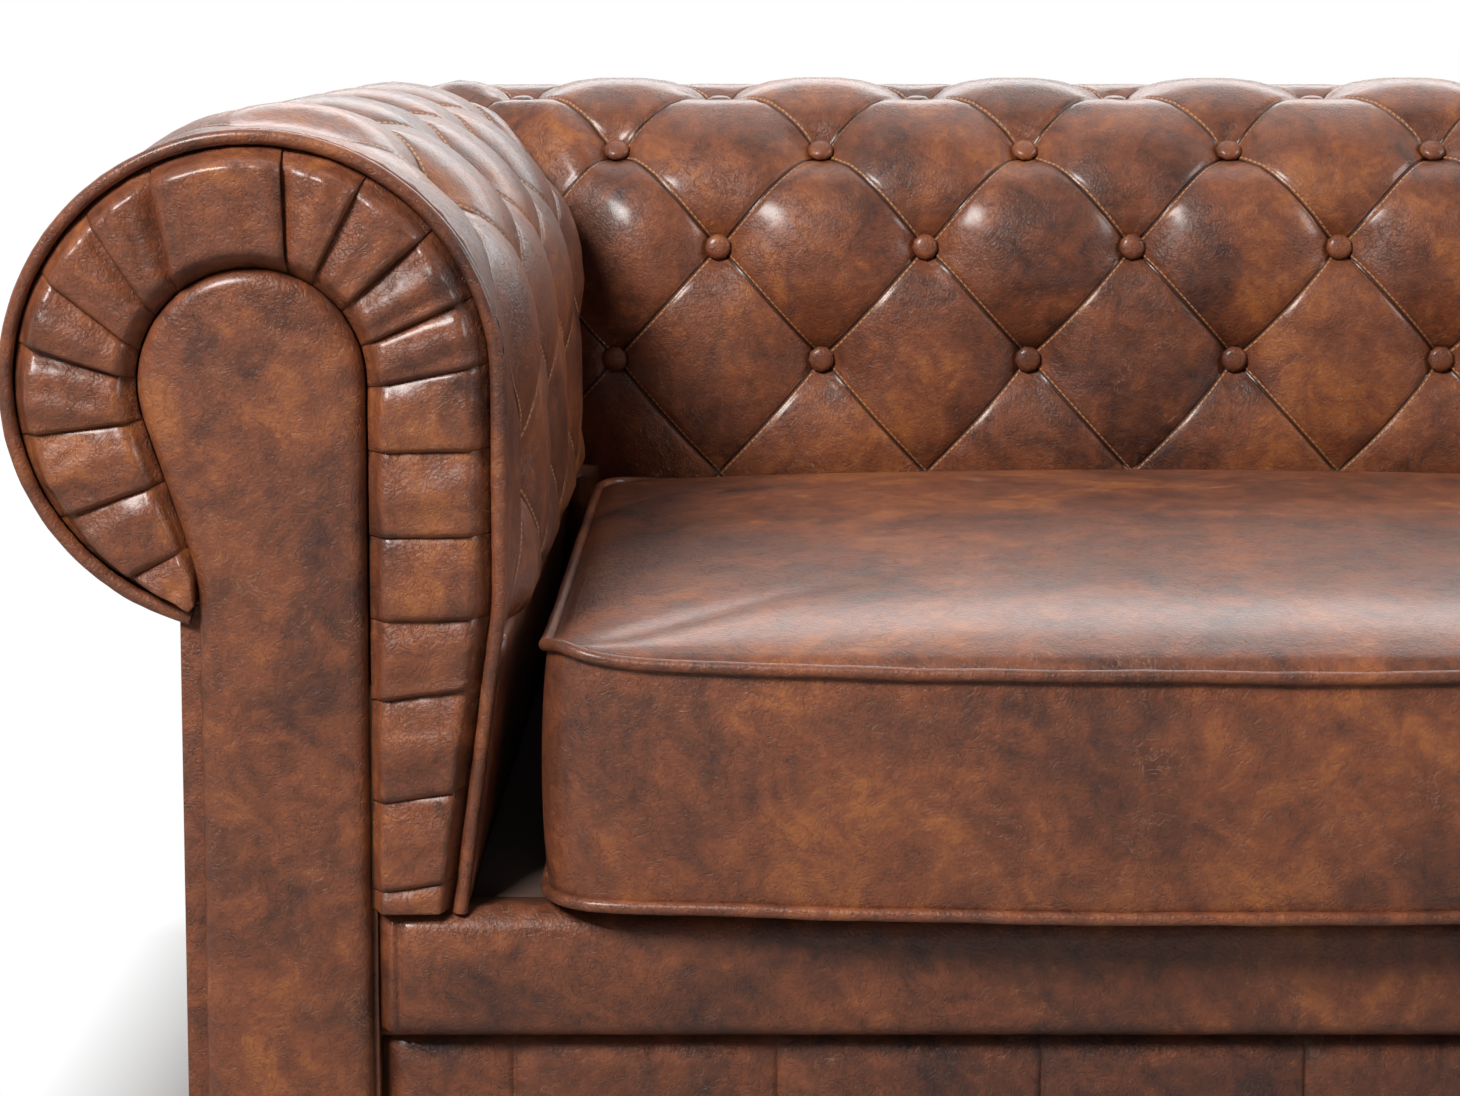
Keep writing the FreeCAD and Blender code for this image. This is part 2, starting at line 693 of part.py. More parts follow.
quarter_pitch = button_pitch / 4
arm_first_column = back_inside - size("corner_column")
arm_band_end = board_front + size("smooth_band")
arm_steps = int((arm_first_column - board_front) / quarter_pitch)
arm_stations = [board_front] + [
    arm_first_column + quarter_pitch * step for step in range(-arm_steps + 1, 0)
]
steps_past = int((half_depth + spare / 2 - arm_first_column) / quarter_pitch) + 1
arm_stations += [arm_first_column + quarter_pitch * step for step in range(steps_past)]
front_board_block = Part.Face(wire_of(front_board_outline)).extrude(
    Vector(0, 0, size("scroll_board_thickness") + spare + gap)
)
front_board_block.Placement = Placement(
    Vector(-arm_centre, board_rear + gap, 0), Rotation(Vector(1, 0, 0), 90)
)
left_cover = buttoned_cover(in_arm, arm_stations, arm_first_column, arm_band_end)
left_cover = left_cover.common(arm_wedge).cut(front_board_block)
left_arm_pad = keep(shaped("left_arm_pad", left_cover))
keep(mirrored("right_arm_pad", left_arm_pad))

back_steps = int((half_width + spare / 2) / quarter_pitch) + 1
back_stations = [quarter_pitch * step for step in range(-back_steps, back_steps + 1)]
back_cover = buttoned_cover(in_back, back_stations, 0, -2 * half_width)
keep(shaped("back_pad", back_cover.common(back_wedge)))


# Covered buttons, one in each pit of the covers

def covered_button():
    """A domed button about +Z, with its tapered back at the bottom of the pit."""
    radius = size("button_radius")
    rim = radius * 0.62
    edge = rim + radius * 0.15
    rise = size("button_rise")
    ball = (radius ** 2 + rise ** 2) / (2 * rise)
    half_turn = math.asin(radius / ball) / 2
    middle = Vector(ball * math.sin(half_turn), 0, edge + rise - ball * (1 - math.cos(half_turn)))
    profile = [
        Part.LineSegment(Vector(0, 0, gap), Vector(radius, 0, rim)),
        Part.LineSegment(Vector(radius, 0, rim), Vector(radius, 0, edge)),
        Part.Arc(Vector(radius, 0, edge), middle, Vector(0, 0, edge + rise)),
        Part.LineSegment(Vector(0, 0, edge + rise), Vector(0, 0, gap)),
    ]
    return Part.Face(wire_of(profile)).revolve(Vector(), Vector(0, 0, 1), 360)


def row_turn(travel):
    """The angle of the cover's outward normal above level, in degrees."""
    return math.degrees(max(0, travel - face_length) / roll_radius)


def button_set(place, first_column, low, mitre_start):
    """The buttons of one cover, row by row, between its front and its mitre."""
    buttons = []
    pit = size("button_depth")
    for row, travel in enumerate(row_places):
        turn = math.radians(row_turn(travel))
        mitre = mitre_start + roll_radius * (1 - math.cos(turn)) - 20
        offset, height = section_point(travel, -pit)
        step = (row % 2) / 2
        places = [first_column + button_pitch * (number + step) for number in range(-9, 10)]
        for along in places:
            if low(mitre) < along < mitre:
                facing = place(math.cos(turn), 0, math.sin(turn)) - place(0, 0, 0)
                button = covered_button()
                button.Placement = Placement(
                    place(offset, along, height), Rotation(Vector(0, 0, 1), facing)
                )
                buttons.append(button)
    return Part.Compound(buttons)


arm_buttons = button_set(in_arm, arm_first_column, lambda mitre: arm_band_end - 1, back_inside)
left_arm_buttons = keep(shaped("left_arm_buttons", arm_buttons))
keep(mirrored("right_arm_buttons", left_arm_buttons))
keep(shaped("back_buttons", button_set(in_back, 0, lambda mitre: -mitre, corner_inside)))


# Arm fronts: keyhole panel, pleated band and welt

def keyhole_leave():
    """Where the panel's slanted outer side leaves its round head."""
    turn = math.radians(180 + size("keyhole_slant"))
    return keyhole * math.cos(turn), roll_height + keyhole * math.sin(turn)


def keyhole_meet():
    """Where that side would meet the neck, were it not rounded there."""
    offset, height = keyhole_leave()
    run = -offset - size("keyhole_neck")
    return -size("keyhole_neck"), height - run / math.tan(math.radians(size("keyhole_slant")))


def keyhole_outline():
    """The panel's loop: round head, slanted outer side, narrow neck, straight inner side."""
    slant = size("keyhole_slant")
    leave = keyhole_leave()
    meet = keyhole_meet()
    bend = size("keyhole_bend")
    reach = bend * math.tan(math.radians(slant) / 2)
    before = (
        meet[0] - reach * math.sin(math.radians(slant)),
        meet[1] + reach * math.cos(math.radians(slant)),
    )
    after = (meet[0], meet[1] - reach)
    centre = (after[0] - bend, after[1])
    head = (0, roll_height)
    turned = 180 + slant
    curves = [arc(keyhole, 0, turned / 2, head), arc(keyhole, turned / 2, turned, head)]
    curves += polyline([leave, before])
    curves.append(arc(bend, slant, 0, centre))
    curves += polyline([after, (meet[0], base_bottom), (keyhole, base_bottom), (keyhole, roll_height)])
    return curves


left_panel = padded_body(
    "left_arm_front_panel",
    [keyhole_outline()],
    "front_panel_thickness",
    at_left_arm(board_front - size("front_panel_thickness")),
)
doc.recompute()
panel_pad = left_panel.Tip
front_edges = []
for number, edge in enumerate(panel_pad.Shape.Edges, start=1):
    box = edge.BoundBox
    upright_front = box.YMax - panel_pad.Shape.BoundBox.YMin < 0.01
    if upright_front and box.ZMax - base_bottom > 0.01:
        front_edges.append("Edge%d" % number)
rounding = left_panel.newObject("PartDesign::Fillet", "left_panel_rounding")
rounding.Base = (panel_pad, front_edges)
rounding.setExpression("Radius", linked("panel_edge_round"))
left_panel.Tip = rounding
keep(left_panel)
keep(mirrored("right_arm_front_panel", left_panel))


def keyhole_edge(angle):
    """Where a ray from the roll's centre leaves the keyhole panel, on its curved side."""
    turn = math.radians(angle)
    slant = math.radians(size("keyhole_slant"))
    if angle <= 180 + size("keyhole_slant"):
        reach = panel_side
    else:
        reach = panel_side / math.cos(turn - math.pi - slant)
    neck = size("keyhole_neck") + 4 * gap
    if reach * math.cos(turn) > -neck and angle > 180:
        return -neck, keyhole_meet()[1] - size("keyhole_bend") / 4
    return reach * math.cos(turn), roll_height + reach * math.sin(turn)


def band_sections():
    """Each section of the pleated band: its inner and outer points and how proud it is.

    The band runs from the outer curl over the top and down the inner leg. Every pleat
    starts tucked under the fold above it and rises to its own fold, away from the box pleat.
    """
    outer_radius = roll_radius - size("welt_diameter") - gap
    half_box = size("box_pleat_angle") / 2
    left_fold = size("box_pleat_middle") + half_box
    right_fold = size("box_pleat_middle") - half_box
    step = size("pleat_step")
    skew = size("pleat_skew")
    tuck = 1.2
    rows = []

    def ray(angle, side, lift):
        turn = math.radians(angle)
        edge = (outer_radius * math.cos(turn), roll_height + outer_radius * math.sin(turn))
        rows.append((keyhole_edge(angle + side * skew), edge, lift))

    left_angles = []
    angle = left_fold
    while angle + step < roll_end - 2:
        left_angles.append(angle)
        angle += step
    left_angles += [angle, roll_end - 2]
    for high, low in zip(left_angles[::-1], left_angles[-2::-1]):
        ray(high, 1, 1)
        ray((high + low) / 2, 1, 0.5)
        ray(low + tuck, 1, 0)
    for share in (1, 0.6, 0.2, -0.2, -0.6, -1):
        ray(size("box_pleat_middle") + half_box * share, share, 1)
    angle = right_fold
    while angle - step > 0:
        ray(angle - tuck, -1, 0)
        ray(angle - step / 2, -1, 0.5)
        ray(angle - step, -1, 1)
        angle -= step
    ray(angle - tuck, -1, 0)
    height = roll_height + math.radians(angle) * roll_radius - size("leg_pleat")
    leg_out = size("welt_diameter") + gap
    while height > border_top + size("pleat_fold"):
        rows.append(((panel_side, height), (face_offset(height) - leg_out, height), 1))
        below = height - tuck
        rows.append(((panel_side, below), (face_offset(below) - leg_out, below), 0))
        height -= size("leg_pleat")
    low = border_top + gap
    rows.append(((panel_side, low), (face_offset(low) - leg_out, low), 0.6))
    return rows


def pleated_band():
    """The band as one loft through its sections."""
    wires = []
    for inner, outer_point, lift in band_sections():
        front = board_front - size("pleat_thickness") - size("pleat_fold") * lift
        corners = [
            in_arm(inner[0], board_front, inner[1]),
            in_arm(inner[0], front, inner[1]),
            in_arm(outer_point[0], front, outer_point[1]),
            in_arm(outer_point[0], board_front, outer_point[1]),
        ]
        wires.append(Part.makePolygon(corners + corners[:1]))
    return Part.makeLoft(wires, True, True)


left_band = keep(shaped("left_arm_pleated_band", pleated_band()))
keep(mirrored("right_arm_pleated_band", left_band))


def arm_welt():
    """The piping round the arm front, swept from the outer curl to the seat."""
    radius = size("welt_diameter") / 2
    path_radius = roll_radius - radius
    y = board_front - radius
    turns = [math.radians(roll_end * share) for share in (1, 0.75, 0.5, 0.25, 0)]
    ring = [
        in_arm(path_radius * math.cos(turn), y, roll_height + path_radius * math.sin(turn))
        for turn in turns
    ]
    slope = math.atan(size("face_slope"))
    bend = size("welt_bend")
    reach = bend * math.tan(slope / 2)
    corner = roll_height - size("straight_drop")
    before = in_arm(path_radius, y, corner + reach)
    middle_turn = slope / 2
    middle = in_arm(
        path_radius - bend * (1 - math.cos(middle_turn)),
        y,
        corner + reach - bend * math.sin(middle_turn),
    )
    after = in_arm(
        path_radius - reach * math.sin(slope), y, corner - reach * math.cos(slope)
    )
    low = border_top + radius / 2
    end = in_arm(after.x + arm_centre - (after.z - low) * math.tan(slope), y, low)
    path = Part.Wire([
        Part.Arc(*ring[0:3]).toShape(),
        Part.Arc(*ring[2:5]).toShape(),
        Part.LineSegment(ring[4], before).toShape(),
        Part.Arc(before, middle, after).toShape(),
        Part.LineSegment(after, end).toShape(),
    ])
    tangent = Vector(math.sin(turns[0]), 0, -math.cos(turns[0]))
    circle = Part.Circle(ring[0], tangent, radius).toShape()
    return path.makePipeShell([Part.Wire([circle])], True, False)


left_welt = keep(shaped("left_arm_welt", arm_welt()))
keep(mirrored("right_arm_welt", left_welt))


# Plain panels

def slanted_panel(place, start, end, low):
    """A plate that follows the falling inner face from the hem down."""
    thickness = size("inner_panel_thickness")
    top = hem - gap
    corners = [
        (face_offset(top), top),
        (face_offset(low), low),
        (face_offset(low) - thickness, low),
        (face_offset(top) - thickness, top),
    ]
    points = [place(offset, start, height) for offset, height in corners]
    face = Part.Face(Part.makePolygon(points + points[:1]))
    return face.extrude(place(0, end, 0) - place(0, start, 0))


back_panel_front = back_centre - face_offset(hem)
panel_foot = deck_top + gap
left_inner_panel = keep(shaped(
    "left_arm_inner_panel",
    slanted_panel(in_arm, board_front, back_panel_front - gap, panel_foot),
))
keep(mirrored("right_arm_inner_panel", left_inner_panel))
panel_reach = arm_centre - face_offset(hem) + size("inner_panel_thickness")
keep(shaped("back_inner_panel", slanted_panel(in_back, -panel_reach, panel_reach, panel_foot)))

left_outside_panel = keep(block(
    "left_arm_outside_panel",
    ("0 - %s - outside_thickness" % FRAME_SIDE, FRONT, "foot_height"),
    ("0 - %s" % FRAME_SIDE, FRAME_BACK, OUTSIDE_TOP),
))
keep(mirrored("right_arm_outside_panel", left_outside_panel))
keep(block(
    "back_outside_panel",
    ("0 - %s - outside_thickness" % FRAME_SIDE, FRAME_BACK, "foot_height"),
    ("%s + outside_thickness" % FRAME_SIDE, "%s + outside_thickness" % FRAME_BACK, OUTSIDE_TOP),
))


def rounded(label, source, at_front, radius):
    """A block whose edges on one face are rounded."""
    doc.recompute()
    result = doc.addObject("Part::Fillet", label)
    result.Base = source
    value = size(radius)
    result.Edges = [
        (number, value, value)
        for number, edge in enumerate(source.Shape.Edges, start=1)
        if edge.BoundBox.YMax - at_front(source.Shape.BoundBox) < 0.01
    ]
    return result


border_block = block(
    "front_border_block",
    ("0 - %s" % BORDER_END, "%s - border_thickness" % BOARD_REAR, "foot_height + base_height"),
    (BORDER_END, BOARD_REAR, BORDER_TOP),
)
keep(rounded("front_border", border_block, lambda box: box.YMin, "border_round"))


def base_front():
    """The base front as an upright prism with a small groove at each seam."""
    rear = board_rear
    front = rear - size("base_panel_thickness")
    end = arm_centre - keyhole - size("front_room")
    depth = size("base_seam_depth")
    pitch = size("base_seam_pitch")
    outline = [(-end, rear), (-end, front)]
    seams = int((end - depth) / pitch + 0.5)
    for number in range(-seams, seams):
        seam = pitch * (number + 0.5)
        outline += [(seam - depth / 2, front), (seam, front + depth), (seam + depth / 2, front)]
    outline += [(end, front), (end, rear)]
    points = [Vector(x, y, base_bottom) for x, y in outline]
    face = Part.Face(Part.makePolygon(points + points[:1]))
    return face.extrude(Vector(0, 0, size("base_height") - gap))


keep(shaped("base_front_panel", base_front()))


# Springs, their clips, and the deck over them

wire_radius = size("spring_wire") / 2
spring_height = rail_top + size("spring_lift")
rear_rail_front = back_inside + size("rear_rail_setback")
spring_front = board_rear + size("clip_length") / 2
spring_rear = rear_rail_front + size("rail_thickness") - size("clip_length") / 2
wave_count = int((spring_rear - spring_front) / (2 * size("wave_radius")))
wave_radius = (spring_rear - spring_front) / (2 * wave_count)


def spring_path(x, y, z):
    """One flat zigzag of straight runs joined by round bends."""
    half = size("wave_width") / 2
    radius = wave_radius
    edges = [Part.LineSegment(Vector(x - half - radius, y, z), Vector(x + half, y, z)).toShape()]
    side = 1
    bent = radius * math.sqrt(0.5)
    for number in range(wave_count):
        low = y + 2 * radius * number
        turn = [
            Vector(x + side * half, low, z),
            Vector(x + side * (half + bent), low + radius - bent, z),
            Vector(x + side * (half + radius), low + radius, z),
            Vector(x + side * (half + bent), low + radius + bent, z),
            Vector(x + side * half, low + 2 * radius, z),
        ]
        edges.append(Part.Arc(*turn[0:3]).toShape())
        edges.append(Part.Arc(*turn[2:5]).toShape())
        side = -side
        run_end = Vector(x + side * half, low + 2 * radius, z)
        edges.append(Part.LineSegment(turn[4], run_end).toShape())
    return Part.Wire(edges)


def spring_rows():
    """The middle of each spring across the seat."""
    count = int(size("spring_count"))
    return [size("spring_pitch") * (number - (count - 1) / 2) for number in range(count)]


springs = []
clips = []
for x in spring_rows():
    path = spring_path(x, spring_front, spring_height)
    start = path.Vertexes[0].Point
    circle = Part.Circle(start, Vector(1, 0, 0), wire_radius).toShape()
    springs.append(path.makePipeShell([Part.Wire([circle])], True, False))
    for y in (spring_front, spring_rear):
        width = size("clip_width")
        length = size("clip_length")
        corner = Vector(x - width / 2, y - length / 2, rail_top)
        body = Part.makeBox(width, length, size("clip_height"), corner)
        slot_half = wire_radius + gap
        slot = Part.makeBox(
            width,
            2 * slot_half,
            size("clip_height"),
            Vector(x - width / 2, y - slot_half, spring_height - slot_half),
        )
        clips.append(body.cut(slot))
keep(shaped("sinuous_springs", Part.Compound(springs)))
keep(shaped("spring_clips", Part.Compound(clips)))

DECK_SIDE = "(%s - roll_radius + %s)" % (ARM, PANEL_FALL % DECK)
DECK_BACK = "(%s - roll_radius + %s)" % (BACK, PANEL_FALL % DECK)
CLOTH_LOW = "(%s - deck_thickness - deck_cloth_thickness)" % DECK
keep(block(
    "deck_cloth",
    ("0 - %s" % DECK_SIDE, BOARD_REAR, CLOTH_LOW),
    (DECK_SIDE, DECK_BACK, "%s + deck_cloth_thickness" % CLOTH_LOW),
))
keep(block(
    "deck_pad",
    ("0 - %s" % DECK_SIDE, BOARD_REAR, "%s - deck_thickness" % DECK),
    (DECK_SIDE, DECK_BACK, DECK),
))


# Seat cushions

pipe_radius = size("cushion_pipe") / 2
seat_half = corner_inside - size("pillow_crown") - size("cushion_clearance")
count = int(size("cushion_count"))
cushion_space = size("cushion_space")
cushion_half = (seat_half * 2 - count * 2 * pipe_radius - (count - 1) * cushion_space) / count / 2
cushion_rear = back_inside - size("pillow_crown") - size("cushion_clearance") - pipe_radius
cushion_front = -half_depth + pipe_radius
bow = size("cushion_bow")
bow_radius = (cushion_half ** 2 + bow ** 2) / (2 * bow)
bow_centre = cushion_front + bow_radius
cushion_foot = deck_top + gap


def cushion_loop(x, z, inset):
    """A cushion's outline in plan: straight sides, a bowed front and round corners."""
    half = cushion_half - inset
    front = bow_radius - inset
    rear = cushion_rear - inset
    corner = max(size("cushion_corner") - inset, 8)
    across = half - corner
    reach = math.sqrt((front - corner) ** 2 - across ** 2)
    y = bow_centre - reach
    lean = math.atan2(across, reach)
    touch = (front * math.sin(lean), bow_centre - front * math.cos(lean))
    slant = lean / 2 + math.pi / 4
    bent = corner * math.sqrt(0.5)
    through = [
        (touch[0], touch[1]),
        (across + corner * math.sin(slant), y - corner * math.cos(slant)),
        (half, y),
        (half, rear - corner),
        (half - corner + bent, rear - corner + bent),
        (half - corner, rear),
    ]
    right = [Vector(x + a, b, z) for a, b in through]
    left = [Vector(x - a, b, z) for a, b in through]
    return Part.Wire([
        Part.Arc(left[0], Vector(x, bow_centre - front, z), right[0]).toShape(),
        Part.Arc(*right[0:3]).toShape(),
        Part.LineSegment(right[2], right[3]).toShape(),
        Part.Arc(*right[3:6]).toShape(),
        Part.LineSegment(right[5], left[5]).toShape(),
        Part.Arc(*left[5:2:-1]).toShape(),
        Part.LineSegment(left[3], left[2]).toShape(),
        Part.Arc(*left[2::-1]).toShape(),
    ])


def cushion_cover(x):
    """The cover: boxed sides, a seat for each piping, and a crowned top; hollow inside."""
    height = size("cushion_height")
    crown = size("cushion_crown")
    seat = 2.6 * pipe_radius
    draw = size("cushion_draw")
    profile = [(seat, 0), (0, seat), (draw, height * 0.35), (draw, height * 0.65)]
    profile += [(0, height - seat), (seat, height)]
    reach = cushion_half * 0.6
    for step in range(1, 8):
        share = step / 8
        rise = crown * math.sin(share * math.pi / 2)
        profile.append((seat + (reach - seat) * share, height + rise))
    loops = [cushion_loop(x, cushion_foot + z, inset) for inset, z in profile]
    body = Part.makeLoft(loops, True, True)
    return body.cut(cushion_core(x, 0))


def cushion_core(x, slack):
    """The foam core, or with no slack the hollow that holds it."""
    wall = size("cushion_wall") + slack
    front = cushion_front + bow + wall
    low = size("cushion_floor") + slack
    high = size("cushion_height") - size("cushion_wall") / 2 - slack
    return Part.makeBox(
        2 * (cushion_half - wall),
        cushion_rear - wall - front,
        high - low,
        Vector(x - cushion_half + wall, front, cushion_foot + low),
    )


def cushion_piping(x):
    """The two closed loops of piping, in their seats above and below the boxing."""
    tubes = []
    for z in (cushion_foot + pipe_radius, cushion_foot + size("cushion_height") - pipe_radius):
        path = cushion_loop(x, z, 0)
        start = path.Edges[0].valueAt(path.Edges[0].FirstParameter)
        tangent = path.Edges[0].tangentAt(path.Edges[0].FirstParameter)
        circle = Part.Circle(start, tangent, pipe_radius).toShape()
        tubes.append(path.makePipeShell([Part.Wire([circle])], True, False))
    return Part.Compound(tubes)


zip_run = size("slider_travel") + 2 * size("zip_end")
zip_middle = cushion_foot + size("cushion_height") / 2
zip_front = cushion_rear - size("cushion_draw") + gap


def cushion_zip(x):
    """The zip: its tape, and a raised line of teeth along the middle."""
    thickness = size("zip_thickness")
    tape = Part.makeBox(
        zip_run,
        thickness / 2,
        size("zip_height"),
        Vector(x - zip_run / 2, zip_front, zip_middle - size("zip_height") / 2),
    )
    height = size("zip_teeth")
    teeth = Part.makeBox(
        zip_run - 2 * height,
        thickness / 2,
        height,
        Vector(x - zip_run / 2 + height, zip_front + thickness / 2, zip_middle - height / 2),
    )
    return tape.fuse(teeth).removeSplitter()


def zip_slider(x):
    """The slider over the teeth at one end of the zip, with its flat pull."""
    length, width, thickness = [size("slider_" + name) for name in ("length", "width", "thickness")]
    front = zip_front + size("zip_thickness") + gap
    left = x - size("slider_travel") / 2 - length / 2
    body = Part.makeBox(length, thickness, width, Vector(left, front, zip_middle - width / 2))
    pull = Part.makeBox(
        size("pull_width"),
        size("pull_thickness"),
        size("pull_length"),
        Vector(
            left + (length - size("pull_width")) / 2,
            front + thickness,
            zip_middle + size("pull_lap") - size("pull_length"),
        ),
    )
    return body.fuse(pull).removeSplitter()


SEATS = {1: ["seat"], 2: ["left", "right"], 3: ["left", "centre", "right"]}
for number, seat_name in enumerate(SEATS[count]):
    x = (number - (count - 1) / 2) * (2 * cushion_half + 2 * pipe_radius + cushion_space)
    keep(shaped(seat_name + "_cushion_cover", cushion_cover(x)))
    keep(shaped(seat_name + "_cushion_core", cushion_core(x, gap)))
    keep(shaped(seat_name + "_cushion_piping", cushion_piping(x)))
    keep(shaped(seat_name + "_cushion_zip", cushion_zip(x)))
    keep(shaped(seat_name + "_zip_slider", zip_slider(x)))


# Feet, their bolts, tee nuts and glides, and the dust cover

def foot_profile():
    """Half of a bun foot: bottom, bulge, waist, collar, and the bolt's blind hole."""
    full = size("foot_radius")
    low = size("glide_thickness")
    high = base_bottom
    span = high - low
    bore = size("bolt_radius") + gap / 2
    sole = size("foot_sole")
    waist = size("foot_waist")
    collar = size("foot_collar")
    shoulder = full * 0.93
    lower, fullest, upper, tucked, beaded = [
        low + span * share for share in (0.2, 0.45, 0.68, 0.85, 0.9)
    ]
    curves = polyline([(0, low), (sole, low)])
    curves.append(Part.Arc(
        Vector(sole, low, 0), Vector(shoulder, lower, 0), Vector(full, fullest, 0)
    ))
    curves.append(Part.Arc(
        Vector(full, fullest, 0), Vector(shoulder, upper, 0), Vector(waist, tucked, 0)
    ))
    curves += polyline([
        (waist, tucked),
        (collar, beaded),
        (collar, high),
        (bore, high),
        (bore, high - size("bolt_depth")),
        (0, high - size("bolt_depth")),
        (0, low),
    ])
    return curves


def nut_profile():
    """Half of a tee nut: a barrel in the rail with a flange on top."""
    inner = size("bolt_radius") + gap / 2
    barrel = size("bolt_radius") + size("nut_wall")
    top = base_bottom + size("base_rail_height")
    low = top - size("nut_length")
    flange = size("nut_flange")
    crown = top + size("flange_thickness")
    return polyline([
        (inner, low),
        (barrel, low),
        (barrel, top),
        (flange, top),
        (flange, crown),
        (inner, crown),
        (inner, low),
    ])


frame_side = arm_centre + outside
frame_back = back_centre + outside
corners = []
for side in (-1, 1):
    for y in (board_rear + size("foot_inset"), frame_back - size("foot_inset")):
        corners.append(Vector(side * (frame_side - size("foot_inset")), y, 0))
keep(group("bun_feet", [
    turned_body("foot_%d" % number, foot_profile(), Placement(corner, Rotation()))
    for number, corner in enumerate(corners, start=1)
]))
keep(group("tee_nuts", [
    turned_body("tee_nut_%d" % number, nut_profile(), Placement(corner, Rotation()))
    for number, corner in enumerate(corners, start=1)
]))
bolts = []
glides = []
for number, corner in enumerate(corners, start=1):
    plan = ("%.6f" % corner.x, "%.6f" % corner.y)
    bolts.append(rod(
        "bolt_%d" % number,
        "bolt_radius",
        "bolt_depth + base_rail_height - bolt_drop - clearance",
        plan + ("foot_height - bolt_depth + clearance",),
    ))
    glides.append(rod("glide_%d" % number, "glide_radius", "glide_thickness", plan + ("0",)))
keep(group("foot_bolts", bolts))
keep(group("foot_glides", glides))

sheet_thickness = size("dust_cover_thickness")
sheet_low = base_bottom - sheet_thickness
dust_sheet = Part.makeBox(
    2 * frame_side,
    frame_back - board_rear,
    sheet_thickness,
    Vector(-frame_side, board_rear, sheet_low),
)
for corner in corners:
    hole = size("foot_collar") + size("foot_gap")
    ring = Part.makeCylinder(hole, sheet_thickness, corner + Vector(0, 0, sheet_low))
    dust_sheet = dust_sheet.cut(ring)
keep(shaped("dust_cover", dust_sheet))


# Recompute, test and write

doc.recompute()
for thing in doc.Objects:
    if "Invalid" in thing.State or "Error" in thing.State:
        raise RuntimeError("failed to build: " + thing.Label)
os.makedirs("parts", exist_ok=True)
for piece in pieces:
    shape = piece.Shape
    if shape.isNull() or not shape.isValid():
        raise RuntimeError("bad shape: " + piece.Label)
    if any(solid.Volume <= 0 for solid in shape.Solids) or not shape.Solids:
        raise RuntimeError("no volume: " + piece.Label)
    shape.exportStep("parts/%s.step" % piece.Label)
print("%d sub-parts" % len(pieces))
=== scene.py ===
# %% [markdown]
# # A chesterfield sofa, dressed
# The joinery of the sofa already exists as a measured model. This notebook loads that model as a
# fixed frame and gives it what a photograph shows: buttoned leather, pleats, piping and stitches.
# Every length is in metres, and every piece is made where it belongs, so nothing is moved later.

# %% Load the frame
import json
import math

import bmesh
import bpy
import numpy
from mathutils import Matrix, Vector, noise

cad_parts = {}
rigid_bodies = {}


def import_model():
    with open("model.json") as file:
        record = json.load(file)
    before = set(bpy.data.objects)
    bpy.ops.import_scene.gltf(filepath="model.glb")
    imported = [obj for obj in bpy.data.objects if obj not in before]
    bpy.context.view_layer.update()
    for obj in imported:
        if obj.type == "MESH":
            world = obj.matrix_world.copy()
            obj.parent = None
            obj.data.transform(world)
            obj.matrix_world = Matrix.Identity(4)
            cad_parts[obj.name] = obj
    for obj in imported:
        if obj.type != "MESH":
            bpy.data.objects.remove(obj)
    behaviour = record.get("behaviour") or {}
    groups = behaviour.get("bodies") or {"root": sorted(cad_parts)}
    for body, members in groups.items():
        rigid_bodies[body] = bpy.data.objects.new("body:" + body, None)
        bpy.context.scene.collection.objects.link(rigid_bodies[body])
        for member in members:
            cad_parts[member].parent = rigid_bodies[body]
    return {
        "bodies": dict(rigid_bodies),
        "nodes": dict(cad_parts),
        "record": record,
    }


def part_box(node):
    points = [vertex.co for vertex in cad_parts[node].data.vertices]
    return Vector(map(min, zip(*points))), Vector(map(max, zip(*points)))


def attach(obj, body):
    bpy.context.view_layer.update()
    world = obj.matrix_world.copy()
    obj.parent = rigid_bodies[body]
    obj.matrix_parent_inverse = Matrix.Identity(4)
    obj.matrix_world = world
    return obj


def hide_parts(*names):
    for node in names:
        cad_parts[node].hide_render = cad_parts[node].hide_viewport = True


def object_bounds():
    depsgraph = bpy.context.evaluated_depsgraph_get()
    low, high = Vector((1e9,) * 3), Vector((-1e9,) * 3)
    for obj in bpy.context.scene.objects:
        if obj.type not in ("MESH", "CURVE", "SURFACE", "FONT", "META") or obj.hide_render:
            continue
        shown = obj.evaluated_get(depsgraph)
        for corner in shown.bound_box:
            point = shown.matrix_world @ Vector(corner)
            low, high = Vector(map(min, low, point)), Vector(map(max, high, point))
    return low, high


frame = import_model()
cad_box = [list(corner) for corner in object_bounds()]

# %% [markdown]
# ## Measures taken from the frame
# The piped welt runs round the arm's roll, so its box tells the roll's radius, its height and where
# the arm's centre line is. The bent board inside the back tells where the back's centre line is.

